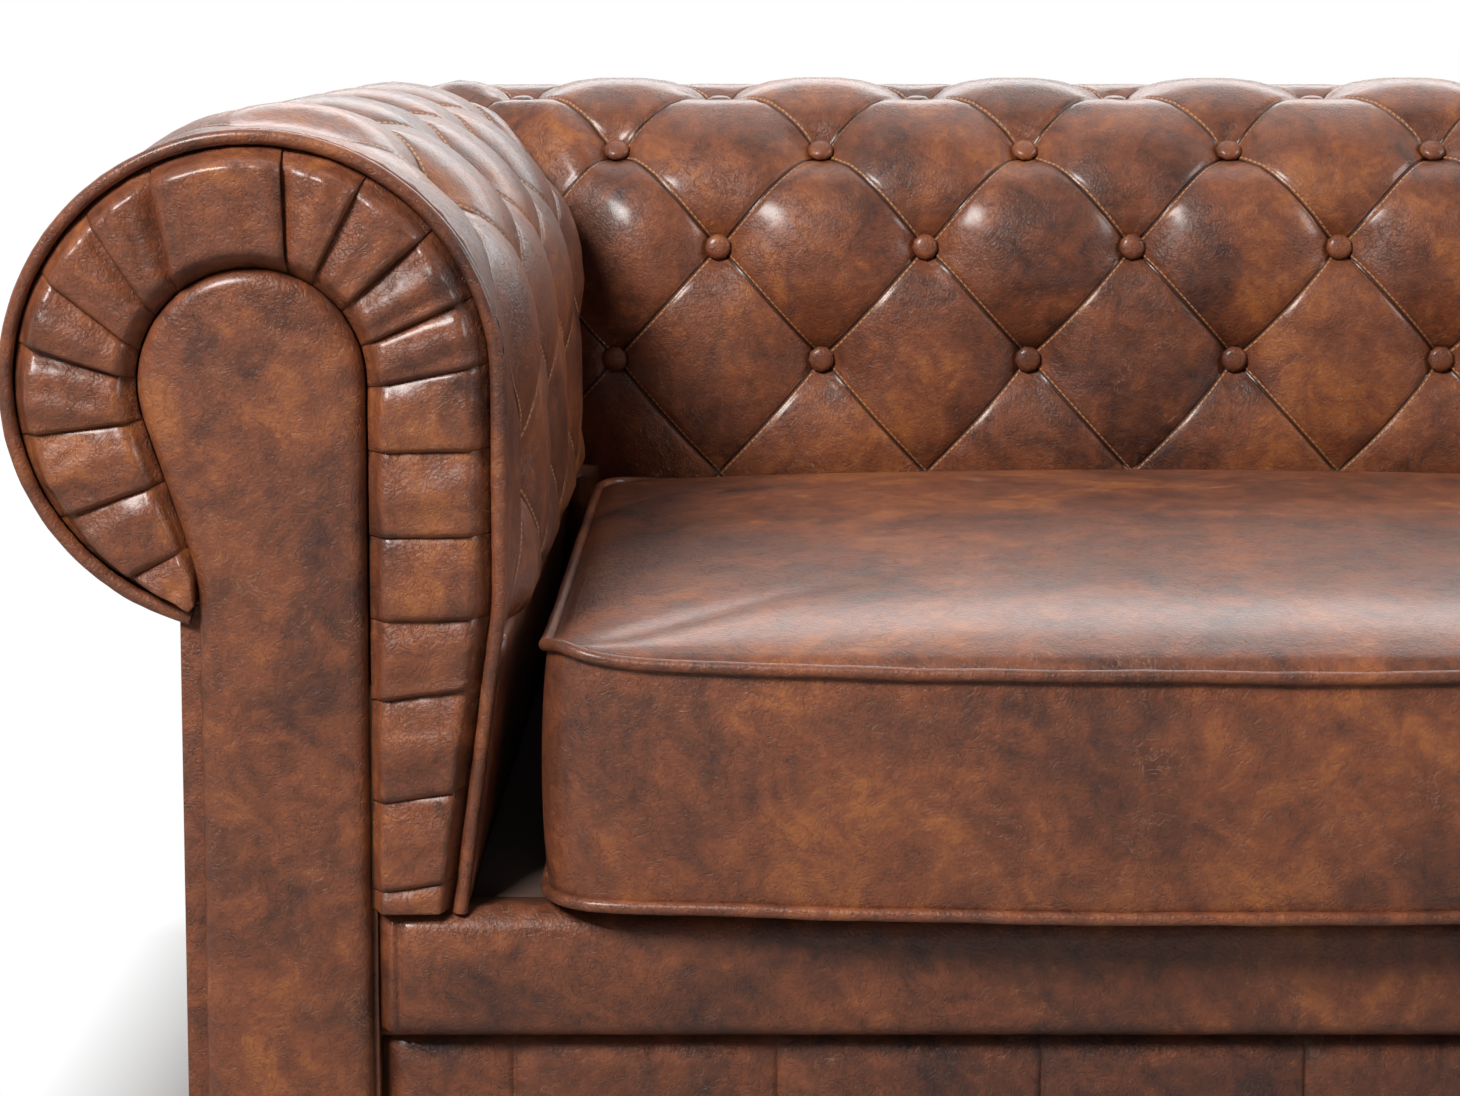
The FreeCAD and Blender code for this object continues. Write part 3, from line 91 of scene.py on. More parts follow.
# %% Measures
welt_low, welt_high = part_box("left_arm_welt")
board_low, board_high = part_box("back_roll_board")
ROLL = (welt_high.x - welt_low.x) / 2
ARM_X = -(welt_low.x + welt_high.x) / 2
ROLL_Z = welt_high.z - ROLL
BACK_Y = board_high.y - (board_high.z - ROLL_Z)
HEM_Z = board_low.z
FRONT_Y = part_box("left_arm_front_panel")[1].y
CROWN = 0.0110
PIT = 0.0160
COLUMN = 0.150
ROW = 0.083
FIRST_ROW = 0.077
ROWS = 6
FACE_BEND = ROLL_Z - 0.117
FACE_SLOPE = 0.133
FACE_RUN = ROLL_Z - HEM_Z
CURL = math.radians(255)
COVER_RUN = FACE_RUN + CURL * ROLL
print("roll radius %.3f, centre %.3f up" % (ROLL, ROLL_Z))
print("arms at %.3f, back at %.3f" % (ARM_X, BACK_Y))


# %% [markdown]
# ## Writing materials as sums
# A material is a graph of nodes, but it reads better as arithmetic. `Shade` wraps one output of a
# node, so that `1 - mask` or `tone * 0.6 + 0.2` adds the Math nodes by itself. Colours would turn
# grey in a Math node, so they are mixed by `Recipe.mix`. Any other node comes from `Recipe.node`.

# %% A value of a material that takes part in sums
class Shade:
    """One output of a node."""

    def __init__(self, recipe, socket):
        self.recipe = recipe
        self.socket = socket

    def math(self, operation, *others):
        return self.recipe.node(
            "ShaderNodeMath", {"operation": operation}, dict(enumerate((self,) + others))
        )

    def __add__(self, other):
        return self.math("ADD", other)

    def __sub__(self, other):
        return self.math("SUBTRACT", other)

    def __rsub__(self, other):
        return self.recipe.node("ShaderNodeMath", {"operation": "SUBTRACT"}, {0: other, 1: self})

    def __mul__(self, other):
        return self.math("MULTIPLY", other)

    def __pow__(self, other):
        return self.math("POWER", other)

    def __abs__(self):
        return self.math("ABSOLUTE")

    def clamped(self, low, high):
        """0 up to low, 1 from high, and straight between."""
        return self.recipe.node("ShaderNodeMapRange", {"clamp": True}, {
            "Value": self, "From Min": low, "From Max": high,
        })

    __radd__ = __add__
    __rmul__ = __mul__


# %% A material and its nodes
class Recipe:
    """A material in the making."""

    def __init__(self, name):
        self.material = bpy.data.materials.new(name)
        self.material.use_nodes = True
        self.tree = self.material.node_tree
        self.shader = self.tree.nodes["Principled BSDF"]

    def plug(self, socket, value):
        """Sets a socket to a value, or links another node's output to it."""
        if isinstance(value, Shade):
            self.tree.links.new(value.socket, socket)
        elif hasattr(socket.default_value, "__len__") and not hasattr(value, "__len__"):
            socket.default_value = [value] * len(socket.default_value)
        else:
            socket.default_value = value

    def node(self, kind, settings=None, sockets=None, output=0):
        """Any node, with its settings made first and then its sockets."""
        node = self.tree.nodes.new(kind)
        for name, value in (settings or {}).items():
            if name == "stops":
                ramp = node.color_ramp
                while len(ramp.elements) < len(value):
                    ramp.elements.new(1)
                for element, (place, colour) in zip(ramp.elements, value):
                    element.position = place
                    element.color = (*colour, 1)
            else:
                setattr(node, name, value)
        for name, value in (sockets or {}).items():
            found = node.inputs[name] if isinstance(name, int) else next(
                s for s in node.inputs if name in (s.identifier, s.name)
            )
            self.plug(found, value)
        return Shade(self, node.outputs[output])

    def mix(self, share, one, other):
        """A colour between two others."""
        colours = [c if isinstance(c, Shade) else (*c, 1) for c in (one, other)]
        return self.node(
            "ShaderNodeMix",
            {"data_type": "RGBA"},
            {"Factor_Float": share, "A_Color": colours[0], "B_Color": colours[1]},
            output=2,
        )

    def noise(self, where, scale, detail=2.0, roughness=0.5, distortion=0.0):
        """Cloudy values from 0 to 1."""
        return self.node("ShaderNodeTexNoise", {}, {
            "Vector": where, "Scale": scale, "Detail": detail, "Roughness": roughness,
            "Distortion": distortion,
        })

    def place(self):
        """Where a point is, in the sofa's own metres."""
        return self.node("ShaderNodeTexCoord", output=3)

    def stretched(self, where, factors):
        """A place with its axes scaled, so that a pattern gets long in one of them."""
        return self.node(
            "ShaderNodeVectorMath", {"operation": "MULTIPLY"}, {0: where, 1: factors}
        )

    def finish(self, **sockets):
        """Plugs what varies, and sets what doesn't, on the shader itself."""
        for name, value in sockets.items():
            title = name.replace("_", " ").title().replace("Ior", "IOR")
            value = (*value, 1) if isinstance(value, tuple) and len(value) == 3 else value
            self.plug(self.shader.inputs[title], value)
        return self.material

    def bump(self, height, depth, strength=1.0):
        """A normal from a height of 0 to 1 that stands for a depth in metres."""
        return self.node(
            "ShaderNodeBump", {}, {"Strength": strength, "Distance": depth, "Height": height}
        )


# %% [markdown]
# ## The leather
# This is a waxed pull-up hide: dark brown wax lies over an orange-brown ground, and it thins where
# the hide is handled or stretched. The colour is therefore built from clouds at three sizes, with
# thin paler veins where the wax cracked. A clear coat shines softly over a ground whose roughness
# varies.

# %% Colours of the hide
WAX_DARK = (0.036, 0.013, 0.010)
WAX_BROWN = (0.095, 0.029, 0.013)
HIDE_RED = (0.165, 0.048, 0.019)
HIDE_ORANGE = (0.300, 0.100, 0.026)
VEIN_PALE = (0.400, 0.190, 0.100)
STITCH_PALE = (0.480, 0.280, 0.150)
# Painted shade for the grooves of the seams between the diamonds.
PAINTED_GROOVE_SHADE = (0.012, 0.004, 0.003)
STITCHES = 27.0
STITCH_GAP = 0.36


# %% The leather's recipe
def leather(name, seams=False, shift=0.0, painted_shade=0.0):
    """The waxed hide; with seams, also the sewn lines between the diamonds, with painted shade
    in their grooves and a painted highlight on one lip.

    Shift moves the pattern along; the last argument darkens the whole tone, as painted shade."""
    recipe = Recipe(name)
    where = recipe.node(
        "ShaderNodeVectorMath", {"operation": "ADD"}, {0: recipe.place(), 1: (shift, shift, shift)}
    )
    clouds = recipe.noise(where, 8.5, 5.0, 0.60, 0.7)
    patches = recipe.noise(where, 30.0, 6.0, 0.64, 1.0)
    flecks = recipe.noise(where, 130.0, 5.0, 0.68, 0.4)
    # The last argument darkens the whole tone: painted shade, for pieces that lie in shade.
    tone = clouds * 0.46 + patches * 0.36 + flecks * 0.18 - painted_shade
    colour = recipe.node("ShaderNodeValToRGB", {"stops": [
        (0.36, WAX_DARK), (0.45, WAX_BROWN), (0.53, HIDE_RED), (0.64, HIDE_ORANGE),
    ]}, {"Fac": tone})
    vein_field = recipe.noise(where, 85.0, 4.0, 0.60, 0.8)
    veins = (1 - abs(vein_field * 2 - 1)) ** 60
    vein_share = veins * recipe.noise(where, 24.0, 3.0).clamped(0.52, 0.68) * 0.55
    colour = recipe.mix(vein_share, colour, VEIN_PALE)
    cells = recipe.node("ShaderNodeTexVoronoi", {"feature": "F1"}, {
        "Vector": where, "Scale": 520.0,
    })
    creases = recipe.noise(where, 190.0, 5.0, 0.66, 0.8)
    height = cells * 0.35 + creases * 0.95 - veins * 0.50 + patches * 0.9
    rough = 0.27 + patches * 0.20 + flecks * 0.18 + veins * 0.12
    if seams:
        spot = recipe.node("ShaderNodeUVMap", {"uv_map": "Diamonds"})
        parts = recipe.node("ShaderNodeSeparateXYZ", {}, {0: spot})
        one = Shade(recipe, parts.socket)
        two = Shade(recipe, parts.socket.node.outputs[1])
        groove_shade_and_depth, lip_highlights, stitches = [], [], []
        for across, along in ((one, two), (two, one)):
            off = across - across.math("ROUND")
            groove_shade_and_depth.append(1 - abs(off).clamped(0.004, 0.011))
            lip_highlights.append(1 - abs(off - 0.016).clamped(0.004, 0.010))
            dash = (along * STITCHES).math("FRACT").math("GREATER_THAN", STITCH_GAP)
            stitches.append((1 - abs(off - 0.018).clamped(0.0025, 0.006)) * dash)
        line, edge, thread = (
            pair[0].math("MAXIMUM", pair[1]) for pair in (groove_shade_and_depth, lip_highlights, stitches)
        )
        # One side of each groove is lightened towards the orange ground: a painted highlight on the
        # lapped lip.
        colour = recipe.mix(edge * 0.45, colour, HIDE_ORANGE)
        colour = recipe.mix(thread * 0.75, colour, STITCH_PALE)
        # Each seam groove is darkened as painted shade, besides being cut in by the bump.
        colour = recipe.mix(line * 0.85, colour, PAINTED_GROOVE_SHADE)
        height = height + thread * 1.2 - line * 1.6
    return recipe.finish(
        base_color=colour,
        roughness=rough,
        normal=recipe.bump(height, 0.0009, 0.75),
        coat_weight=0.35,
        coat_roughness=0.21,
        coat_ior=1.45,
        specular_ior_level=0.36,
    )


leather_plain = leather("leather")
leather_tufted = leather("leather_buttoned", seams=True)
leather_seat = leather("leather_seat", shift=3.7)
# The border and the base are darker copies of the hide: painted shade for the shade under the
# cushions' overhang and under the border.
leather_border_painted_shade = leather("leather_border_painted_shade", shift=1.3, painted_shade=0.035)
leather_base_painted_shade = leather("leather_base_painted_shade", shift=6.1, painted_shade=0.065)
print("leather made")


def give(piece, material):
    """Puts one material on all of a piece."""
    piece.data.materials.clear()
    piece.data.materials.append(material)


# %% [markdown]
# ## Small helpers
# A piece starts as a bmesh, becomes a mesh object at the origin, and is then told which part of the
# sofa it rides on, which plain solid it stands for, and what it is made of.

# %% Turn a bmesh into a piece
def piece_from(bm, name, material, body="root", replaces=(), slot="leather", fill=None):
    """One finished piece of the sofa."""
    bmesh.ops.recalc_face_normals(bm, faces=bm.faces)
    mesh = bpy.data.meshes.new(name)
    bm.to_mesh(mesh)
    bm.free()
    for polygon in mesh.polygons:
        polygon.use_smooth = True
    piece = bpy.data.objects.new(name, mesh)
    bpy.context.scene.collection.objects.link(piece)
    give(piece, material)
    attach(piece, body)
    if replaces:
        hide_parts(*replaces)
    print(name, "has", len(mesh.polygons), "faces")
    return piece


# %% Mirror a left-hand bmesh for the right-hand arm
def right_hand(bm):
    """A mirrored copy of a bmesh, with its faces turned the right way again."""
    copy = bm.copy()
    bmesh.ops.scale(copy, vec=(-1, 1, 1), verts=copy.verts)
    bmesh.ops.reverse_faces(copy, faces=copy.faces)
    return copy


def on_both_arms(bm, name, node, material, **rides):
    """A left-hand bmesh and its mirror as two pieces, for one node's name on either side."""
    for side, half in (("right", right_hand(bm)), ("left", bm)):
        piece_from(half, side + name, material, replaces=[side + node], **rides)


# %% Cut, divide and close a bmesh
def cut_across(bm, spot, way, clear=False):
    """Cuts every face on a plane, and clears what lies beyond it if asked to."""
    everything = bm.verts[:] + bm.edges[:] + bm.faces[:]
    return bmesh.ops.bisect_plane(
        bm, geom=everything, plane_co=spot, plane_no=way, clear_outer=clear
    )


def divide(bm, axis, start, length, count):
    """Cuts a bmesh into equal slices along an axis."""
    for number in range(1, count):
        spot, way = Vector(), Vector()
        spot[axis] = start + length * number / count
        way[axis] = 1
        cut_across(bm, spot, way)


def close_behind(bm, depth):
    """Draws a sheet's rim straight back to a depth along Y, and fills the back."""
    rim = [edge for edge in bm.edges if edge.is_boundary]
    for item in bmesh.ops.extrude_edge_only(bm, edges=rim)["geom"]:
        if isinstance(item, bmesh.types.BMVert):
            item.co.y = depth
    bmesh.ops.edgeloop_fill(bm, edges=[edge for edge in bm.edges if edge.is_boundary])


# %% Soft noise and an easing curve
def ripple(x, y, z, size):
    """Smooth noise from -1 to 1 whose bumps are about one size across."""
    return noise.noise(Vector((x / size, y / size, z / size)))


def ease(value, start, end):
    """0 up to start, 1 from end, and a soft step between."""
    share = min(1.0, max(0.0, (value - start) / (end - start)))
    return share * share * (3 - 2 * share)


# %% [markdown]
# ## Buttoned leather
# Deep buttoning pulls the leather down at every button and folds it along the lines between them,
# so that diamonds stand up like small pillows. The grid here is drawn along those diagonal folds
# rather than along the sofa: each fold is then a row of edges, and stays a clean crease.

# %% How far the leather stands out at a point of the diamonds
PINCH_REACH = 0.105
SAG_REACH = 0.34
FOLD_RISE = 0.018
CREASE_DEPTH = 0.0026


def diamond(one, other, seed):
    """Height over the fold lines, from the two diagonal places measured in diamonds."""
    a, b = one - math.floor(one), other - math.floor(other)
    pillow = (4 * a * (1 - a)) ** 0.38 * (4 * b * (1 - b)) ** 0.38
    cell = Vector((math.floor(one) + 0.5, math.floor(other) + 0.5, seed))
    fullness = 1 + 0.22 * noise.noise(cell * 3.7)
    da, db = a - round(a), b - round(b)
    away = math.hypot(da, db)
    between = 1 - math.exp(-((away / 0.24) ** 2))
    level = CROWN * (0.42 * between + 0.58 * pillow * fullness)
    below_the_hem = round(one) - round(other) < 0
    if below_the_hem:
        return level
    pinch = math.exp(-((away / PINCH_REACH) ** 2))
    sag = math.exp(-((away / SAG_REACH) ** 2))
    turn = math.atan2(db, da)
    button = Vector((round(one), round(other), seed))
    chance = noise.noise(button * 2.3)
    folds = math.sin(turn * 6 + 9 * chance) * away * math.exp(-away / 0.10)
    crease = 0.0
    for number in range(3):
        lean = math.pi * noise.noise(button * (1.7 + number))
        off = math.remainder(turn - 2.2 * number - 2 * lean, 2 * math.pi)
        crease += math.exp(-((off / 0.20) ** 2)) * math.exp(-(((away - 0.17) / 0.07) ** 2))
    pit = PIT * (0.60 * pinch + 0.40 * sag)
    return level - pit + FOLD_RISE * folds - CREASE_DEPTH * crease


# %% Where the leather runs: up the inner face and round the roll
def face_offset(height):
    """The inner face of arm or back below the roll: upright, then falling away."""
    return ROLL - max(0.0, FACE_BEND - height) * FACE_SLOPE


def section(travel, proud):
    """Offset from the centre line and height, from the travel up from the hem."""
    if travel < FACE_RUN:
        height = HEM_Z + travel
        return face_offset(height) + proud, height
    turn = (travel - FACE_RUN) / ROLL
    return (ROLL + proud) * math.cos(turn), ROLL_Z + (ROLL + proud) * math.sin(turn)


# %% A sheet of diamonds, closed to a pad and bent round the roll
LINING_DEPTH = 0.036
LINING_SLICES = 16
EDGE_TURN = 0.006


def buttoned_pad(start, end, first_column, place, proud_at, skirt=0.0):
    """The pad between two places along the roll; place(offset, along, height) sets it down.

    A skirt is how far its outer leather goes on below the hem."""
    cells = 14
    pinch_lines = 0.72
    low_c, high_c = (start - first_column) / COLUMN, (end - first_column) / COLUMN
    low_r, high_r = -(FIRST_ROW + skirt) / ROW, (COVER_RUN - FIRST_ROW) / ROW
    one_low, one_high = math.floor(low_c + low_r / 2), math.ceil(high_c + high_r / 2)
    two_low, two_high = math.floor(low_c - high_r / 2), math.ceil(high_c - low_r / 2)
    bm = bmesh.new()
    segments = [(one_high - one_low) * cells, (two_high - two_low) * cells]
    bmesh.ops.create_grid(bm, x_segments=segments[0], y_segments=segments[1], size=0.5)
    for vert in bm.verts:
        one = one_low + (vert.co.x + 0.5) * (one_high - one_low)
        two = two_low + (vert.co.y + 0.5) * (two_high - two_low)
        one -= pinch_lines * math.sin(2 * math.pi * one) / (2 * math.pi)
        two -= pinch_lines * math.sin(2 * math.pi * two) / (2 * math.pi)
        vert.co = Vector((
            first_column + COLUMN * (one + two) / 2, FIRST_ROW + ROW * (one - two), 0
        ))
    for spot, way in (
        ((start, 0, 0), (-1, 0, 0)),
        ((end, 0, 0), (1, 0, 0)),
        ((0, -skirt, 0), (0, -1, 0)),
        ((0, COVER_RUN, 0), (0, 1, 0)),
    ):
        cut_across(bm, spot, way, clear=True)
    rim = [edge for edge in bm.edges if edge.is_boundary]
    pulled = bmesh.ops.extrude_edge_only(bm, edges=rim)["geom"]
    under = [item for item in pulled if isinstance(item, bmesh.types.BMVert)]
    bmesh.ops.translate(bm, verts=under, vec=(0, 0, -1))
    inner_rim = [edge for edge in bm.edges if edge.is_boundary]
    bmesh.ops.edgeloop_fill(bm, edges=inner_rim)
    for number in range(-1, LINING_SLICES):
        level = COVER_RUN * number / LINING_SLICES if number > 0 else 0.0005 * number
        flat = [face for face in bm.faces if all(v.co.z < -0.5 for v in face.verts)]
        geom = dict.fromkeys(flat)
        for face in flat:
            geom.update(dict.fromkeys([*face.edges, *face.verts]))
        bmesh.ops.bisect_plane(bm, geom=list(geom), plane_co=(0, level, 0), plane_no=(0, 1, 0))
    map_layer = bm.loops.layers.uv.new("Diamonds")
    for face in bm.faces:
        for loop in face.loops:
            c = (loop.vert.co.x - first_column) / COLUMN
            r = (loop.vert.co.y - FIRST_ROW) / ROW
            loop[map_layer].uv = (c + r / 2, c - r / 2)
    for vert in bm.verts:
        along, travel = vert.co.x, vert.co.y
        if vert.co.z < -0.5:
            offset, height = section(travel, -LINING_DEPTH if travel > -0.0002 else 0.0004)
        else:
            rolled_in = EDGE_TURN * (1 - ease(travel + skirt, 0.0, 0.008))
            offset, height = section(travel, proud_at(along, travel) - rolled_in)
        vert.co = Vector(place(offset, along, height))
    return bm


# %% [markdown]
# ### Where the arms meet the back
# The two covers are mitred like a picture frame. Each is cut on the mitre's plane and drawn down
# towards it, as the leather is in the fold there.

# %% The mitre
CORNER = Vector((-(ARM_X - ROLL), BACK_Y - ROLL, 0))
MITRE_GAP = 0.0004


def cut_on_mitre(bm, keep_back, right_side=False):
    """Cuts a cover on the upright plane through the inner corner at 45 degrees."""
    side = -1 if right_side else 1
    spot = Vector((CORNER.x * side, CORNER.y, 0))
    normal = Vector((side, 1, 0)).normalized() * (-1 if keep_back else 1)
    spot += -normal * MITRE_GAP / 2
    cut = cut_across(bm, spot, normal, clear=True)
    rim = [item for item in cut["geom_cut"] if isinstance(item, bmesh.types.BMEdge)]
    bmesh.ops.edgeloop_fill(bm, edges=[edge for edge in rim if edge.is_boundary])


def mitre_fold(distance):
    """How much of a pillow is left near the mitre, and how far the leather is drawn in."""
    return ease(distance, 0.0, 0.05), -0.012 * math.exp(-distance / 0.014)


# %% The back's cover
CURL_SMOOTH_FROM = FIRST_ROW + ROW * (ROWS - 1)
CURL_SMOOTH_TO = FIRST_ROW + ROW * (ROWS - 0.4)


def back_proud(along, travel):
    """The back's diamonds, drawn down at both mitres and smoothed off under the curl."""
    column = along / COLUMN
    row = (travel - FIRST_ROW) / ROW
    height = diamond(column + row / 2, column - row / 2, 3.0)
    height *= 1 - ease(travel, CURL_SMOOTH_FROM, CURL_SMOOTH_TO)
    offset, _ = section(travel, 0)
    edge = ARM_X - offset
    share, dip = mitre_fold(max(0.0, edge - abs(along)))
    return height * share + dip


def in_back(offset, along, height):
    """A point of the back from its section."""
    return along, BACK_Y - offset, height


reach = ARM_X + ROLL + 0.02
back = buttoned_pad(-reach, reach, 0.0, in_back, back_proud, skirt=0.026)
cut_on_mitre(back, True)
cut_on_mitre(back, True, right_side=True)
piece_from(
    back, "back_cover", leather_tufted, replaces=["back_pad"], slot="leather_padded", fill=0.8
)

# %% The arms' covers
ARM_COLUMN = BACK_Y - ROLL - 0.028
SMOOTH_END = FRONT_Y + 0.070


def arm_proud(along, travel):
    """The arm's diamonds, plain behind the welt and drawn down at the mitre."""
    column = (along - ARM_COLUMN) / COLUMN
    row = (travel - FIRST_ROW) / ROW
    height = diamond(column + row / 2, column - row / 2, 11.0)
    height *= 1 - ease(travel, CURL_SMOOTH_FROM, CURL_SMOOTH_TO)
    height *= ease(along, SMOOTH_END - 0.045, SMOOTH_END + 0.004)
    offset, _ = section(travel, 0)
    share, dip = mitre_fold(max(0.0, BACK_Y - offset - along))
    return height * share + dip


def in_arm(offset, along, height):
    """A point of the left arm from its section."""
    return -ARM_X + offset, along, height


arm = buttoned_pad(FRONT_Y, BACK_Y + ROLL + 0.02, ARM_COLUMN, in_arm, arm_proud)
cut_on_mitre(arm, False)
on_both_arms(arm, "_arm_cover", "_arm_pad", leather_tufted, slot="leather_padded", fill=0.8)

# %% [markdown]
# ## Seat cushions
# A boxed cushion is a top and a bottom panel joined by a band, with a piped seam at each join. The
# cube is divided finely and then shaped by rules: round corners, a bowed front, a crowned top, and
# sides that swell a little between the two seams.

# %% Measures of a cushion
PIPE = 0.0035
BOW = 0.024
CORNER_ROUND = 0.032
SEAT_CROWN = 0.030


def cushion_measures(name):
    """The lowest and the highest corner of a cushion's box, from its piping."""
    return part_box(name + "_cushion_piping")


def corner_lift(x, y, low, high):
    """How far the top seam rises towards the cushion's corners, most at the front ones."""
    half = (high.x - low.x) / 2
    side = half - abs(x - (low.x + high.x) / 2)
    front = math.hypot(side, y - low.y - BOW)
    rear = math.hypot(side, high.y - y)
    peak = 0.014 * math.exp(-front / 0.020) + 0.004 * math.exp(-front / 0.08)
    return peak + 0.004 * math.exp(-rear / 0.03)


def plan_outline(x_share, y_share, low, high):
    """A point of the cushion's plan, from shares of -1 to 1 across and from front to rear."""
    middle = (low.x + high.x) / 2
    half = (high.x - low.x) / 2 - PIPE
    rear = high.y - PIPE
    front = low.y + PIPE + BOW
    centre = (front + rear) / 2
    deep = (rear - front) / 2
    x, y = x_share * half, y_share * deep
    inner_x, inner_y = half - CORNER_ROUND, deep - CORNER_ROUND
    ring = max(abs(x_share), abs(y_share))
    if ring > 1e-6:
        edge_x, edge_y = x_share / ring * half, y_share / ring * deep
        over_x, over_y = abs(edge_x) - inner_x, abs(edge_y) - inner_y
        if over_x > 0 and over_y > 0:
            reach = math.hypot(over_x, over_y)
            edge_x = math.copysign(inner_x + over_x * CORNER_ROUND / reach, edge_x)
            edge_y = math.copysign(inner_y + over_y * CORNER_ROUND / reach, edge_y)
        x, y = edge_x * ring, edge_y * ring
    if y < 0:
        y -= BOW * (1 - (x / half) ** 2) * (-y / deep)
    return middle + x, centre + y


def cushion(name, seed):
    """The cover of one cushion as a closed, crowned form."""
    low, high = cushion_measures(name)
    cuts = 63
    bm = bmesh.new()
    bmesh.ops.create_cube(bm, size=2)
    bmesh.ops.subdivide_edges(bm, edges=bm.edges[:], cuts=cuts, use_grid_fill=True)
    height = high.z - low.z
    for vert in bm.verts:
        sx, sy, sz = vert.co
        on_side = max(abs(sx), abs(sy)) > 0.9999
        x, y = plan_outline(sx, sy, low, high)
        if sz > 0.9999 and not on_side:
            span = (1 - abs(sx) ** 2.4) * (1 - abs(sy) ** 2.4)
            z = high.z - PIPE + SEAT_CROWN * span ** 0.5 + corner_lift(x, y, low, high)
            z += 0.003 * ripple(x, y, seed, 0.16) * span
        elif sz < -0.9999 and not on_side:
            z = low.z + 0.001
        else:
            z = low.z + PIPE + (sz + 1) / 2 * (height - 2 * PIPE + corner_lift(x, y, low, high))
            pull = 0.002 - 0.0045 * (1 - sz ** 2) ** 0.8
            out = Vector((x - (low.x + high.x) / 2, y - (low.y + high.y) / 2)).normalized()
            x -= out.x * pull
            y -= out.y * pull
        vert.co = (x, y, z)
    return bm


SEATS = [name[: -len("_cushion")] for name in sorted(frame["bodies"]) if name.endswith("_cushion")]
for number, name in enumerate(SEATS):
    bm = cushion(name, 5.0 * number)
    piece_from(
        bm, name + "_seat_cushion", leather_seat, body=name + "_cushion",
        replaces=[name + "_cushion_cover"], slot="leather_padded", fill=0.85,
    )


# %% [markdown]
# ### Piping
# Piping is a cord wrapped in a strip of leather and caught in the seam. A curve with a round bevel
# gives the tube. It is then turned into a mesh, and its surface is shaken a little, because the
# wrapped strip puckers between its stitches.

# %% A tube along points
def tube(points, radius, name, material, cyclic=False, pucker=0.0, **rides):
    """A round piping that follows points."""
    curve = bpy.data.curves.new(name + "_line", "CURVE")
    curve.dimensions = "3D"
    curve.bevel_depth = radius
    curve.bevel_resolution = 4
    curve.use_fill_caps = not cyclic
    spline = curve.splines.new("POLY")
    spline.points.add(len(points) - 1)
    for point, spot in zip(spline.points, points):
        point.co = (*spot, 1)
    spline.use_cyclic_u = cyclic
    holder = bpy.data.objects.new(name + "_line", curve)
    bm = bmesh.new()
    bm.from_mesh(bpy.data.meshes.new_from_object(holder))
    bpy.data.objects.remove(holder)
    bm.normal_update()
    for vert in bm.verts:
        x, y, z = vert.co
        swell = ripple(x, y, z, 0.007) * 0.6 + ripple(x, y, z, 0.025) * 0.6
        vert.co += vert.normal * pucker * swell
    return piece_from(bm, name, material, **rides)


# %% The two loops of piping on each cushion
def seam_loop(low, high, top):
    """Points round a cushion's seam."""
    points = []
    steps = 90
    for side in range(4):
        for step in range(steps):
            share = -1 + 2 * step / steps
            spot = ((share, -1), (1, share), (-share, 1), (-1, -share))[side]
            x, y = plan_outline(*spot, low, high)
            z = low.z + PIPE
            if top:
                z = high.z - PIPE + corner_lift(x, y, low, high)
            z += 0.0009 * ripple(x, y, z, 0.05)
            points.append((x, y, z))
    return points


for name in SEATS:
    low, high = cushion_measures(name)
    for label, top in (("top", True), ("bottom", False)):
        tube(
            seam_loop(low, high, top), PIPE, name + "_seat_piping_" + label, leather_seat,
            cyclic=True, pucker=0.0004, body=name + "_cushion",
            replaces=[name + "_cushion_piping"],
        )

# %% [markdown]
# ## The arm's front
# A padded keyhole panel sits in the middle of the roll. Round it runs a band of leather laid in
# pleats: a wide box pleat on top, and from there down both sides each pleat laps the next. A piped
# welt closes the band against the arm.

# %% Measures of the arm's front
panel_low, panel_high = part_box("left_arm_front_panel")
KEYHOLE = panel_high.x + ARM_X
NECK = 0.029
SLANT = math.radians(18.8)
BASE_Z = panel_low.z
BORDER_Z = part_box("front_border")[1].z
WELT = 0.008
LEAVE_Z = ROLL_Z - KEYHOLE * math.sin(SLANT)


def keyhole_left(height):
    """How far left of the roll's centre line the keyhole's outer side is."""
    if height > LEAVE_Z:
        return math.sqrt(max(0.0, KEYHOLE ** 2 - (height - ROLL_Z) ** 2))
    slanted = KEYHOLE * math.cos(SLANT) - (LEAVE_Z - height) * math.tan(SLANT)
    return (slanted + NECK + math.hypot(slanted - NECK, 0.004)) / 2


# %% The keyhole panel
FACING_DEPTH = 0.0145
FACING_ROUND = 0.009
FACING_SHARE = 0.985


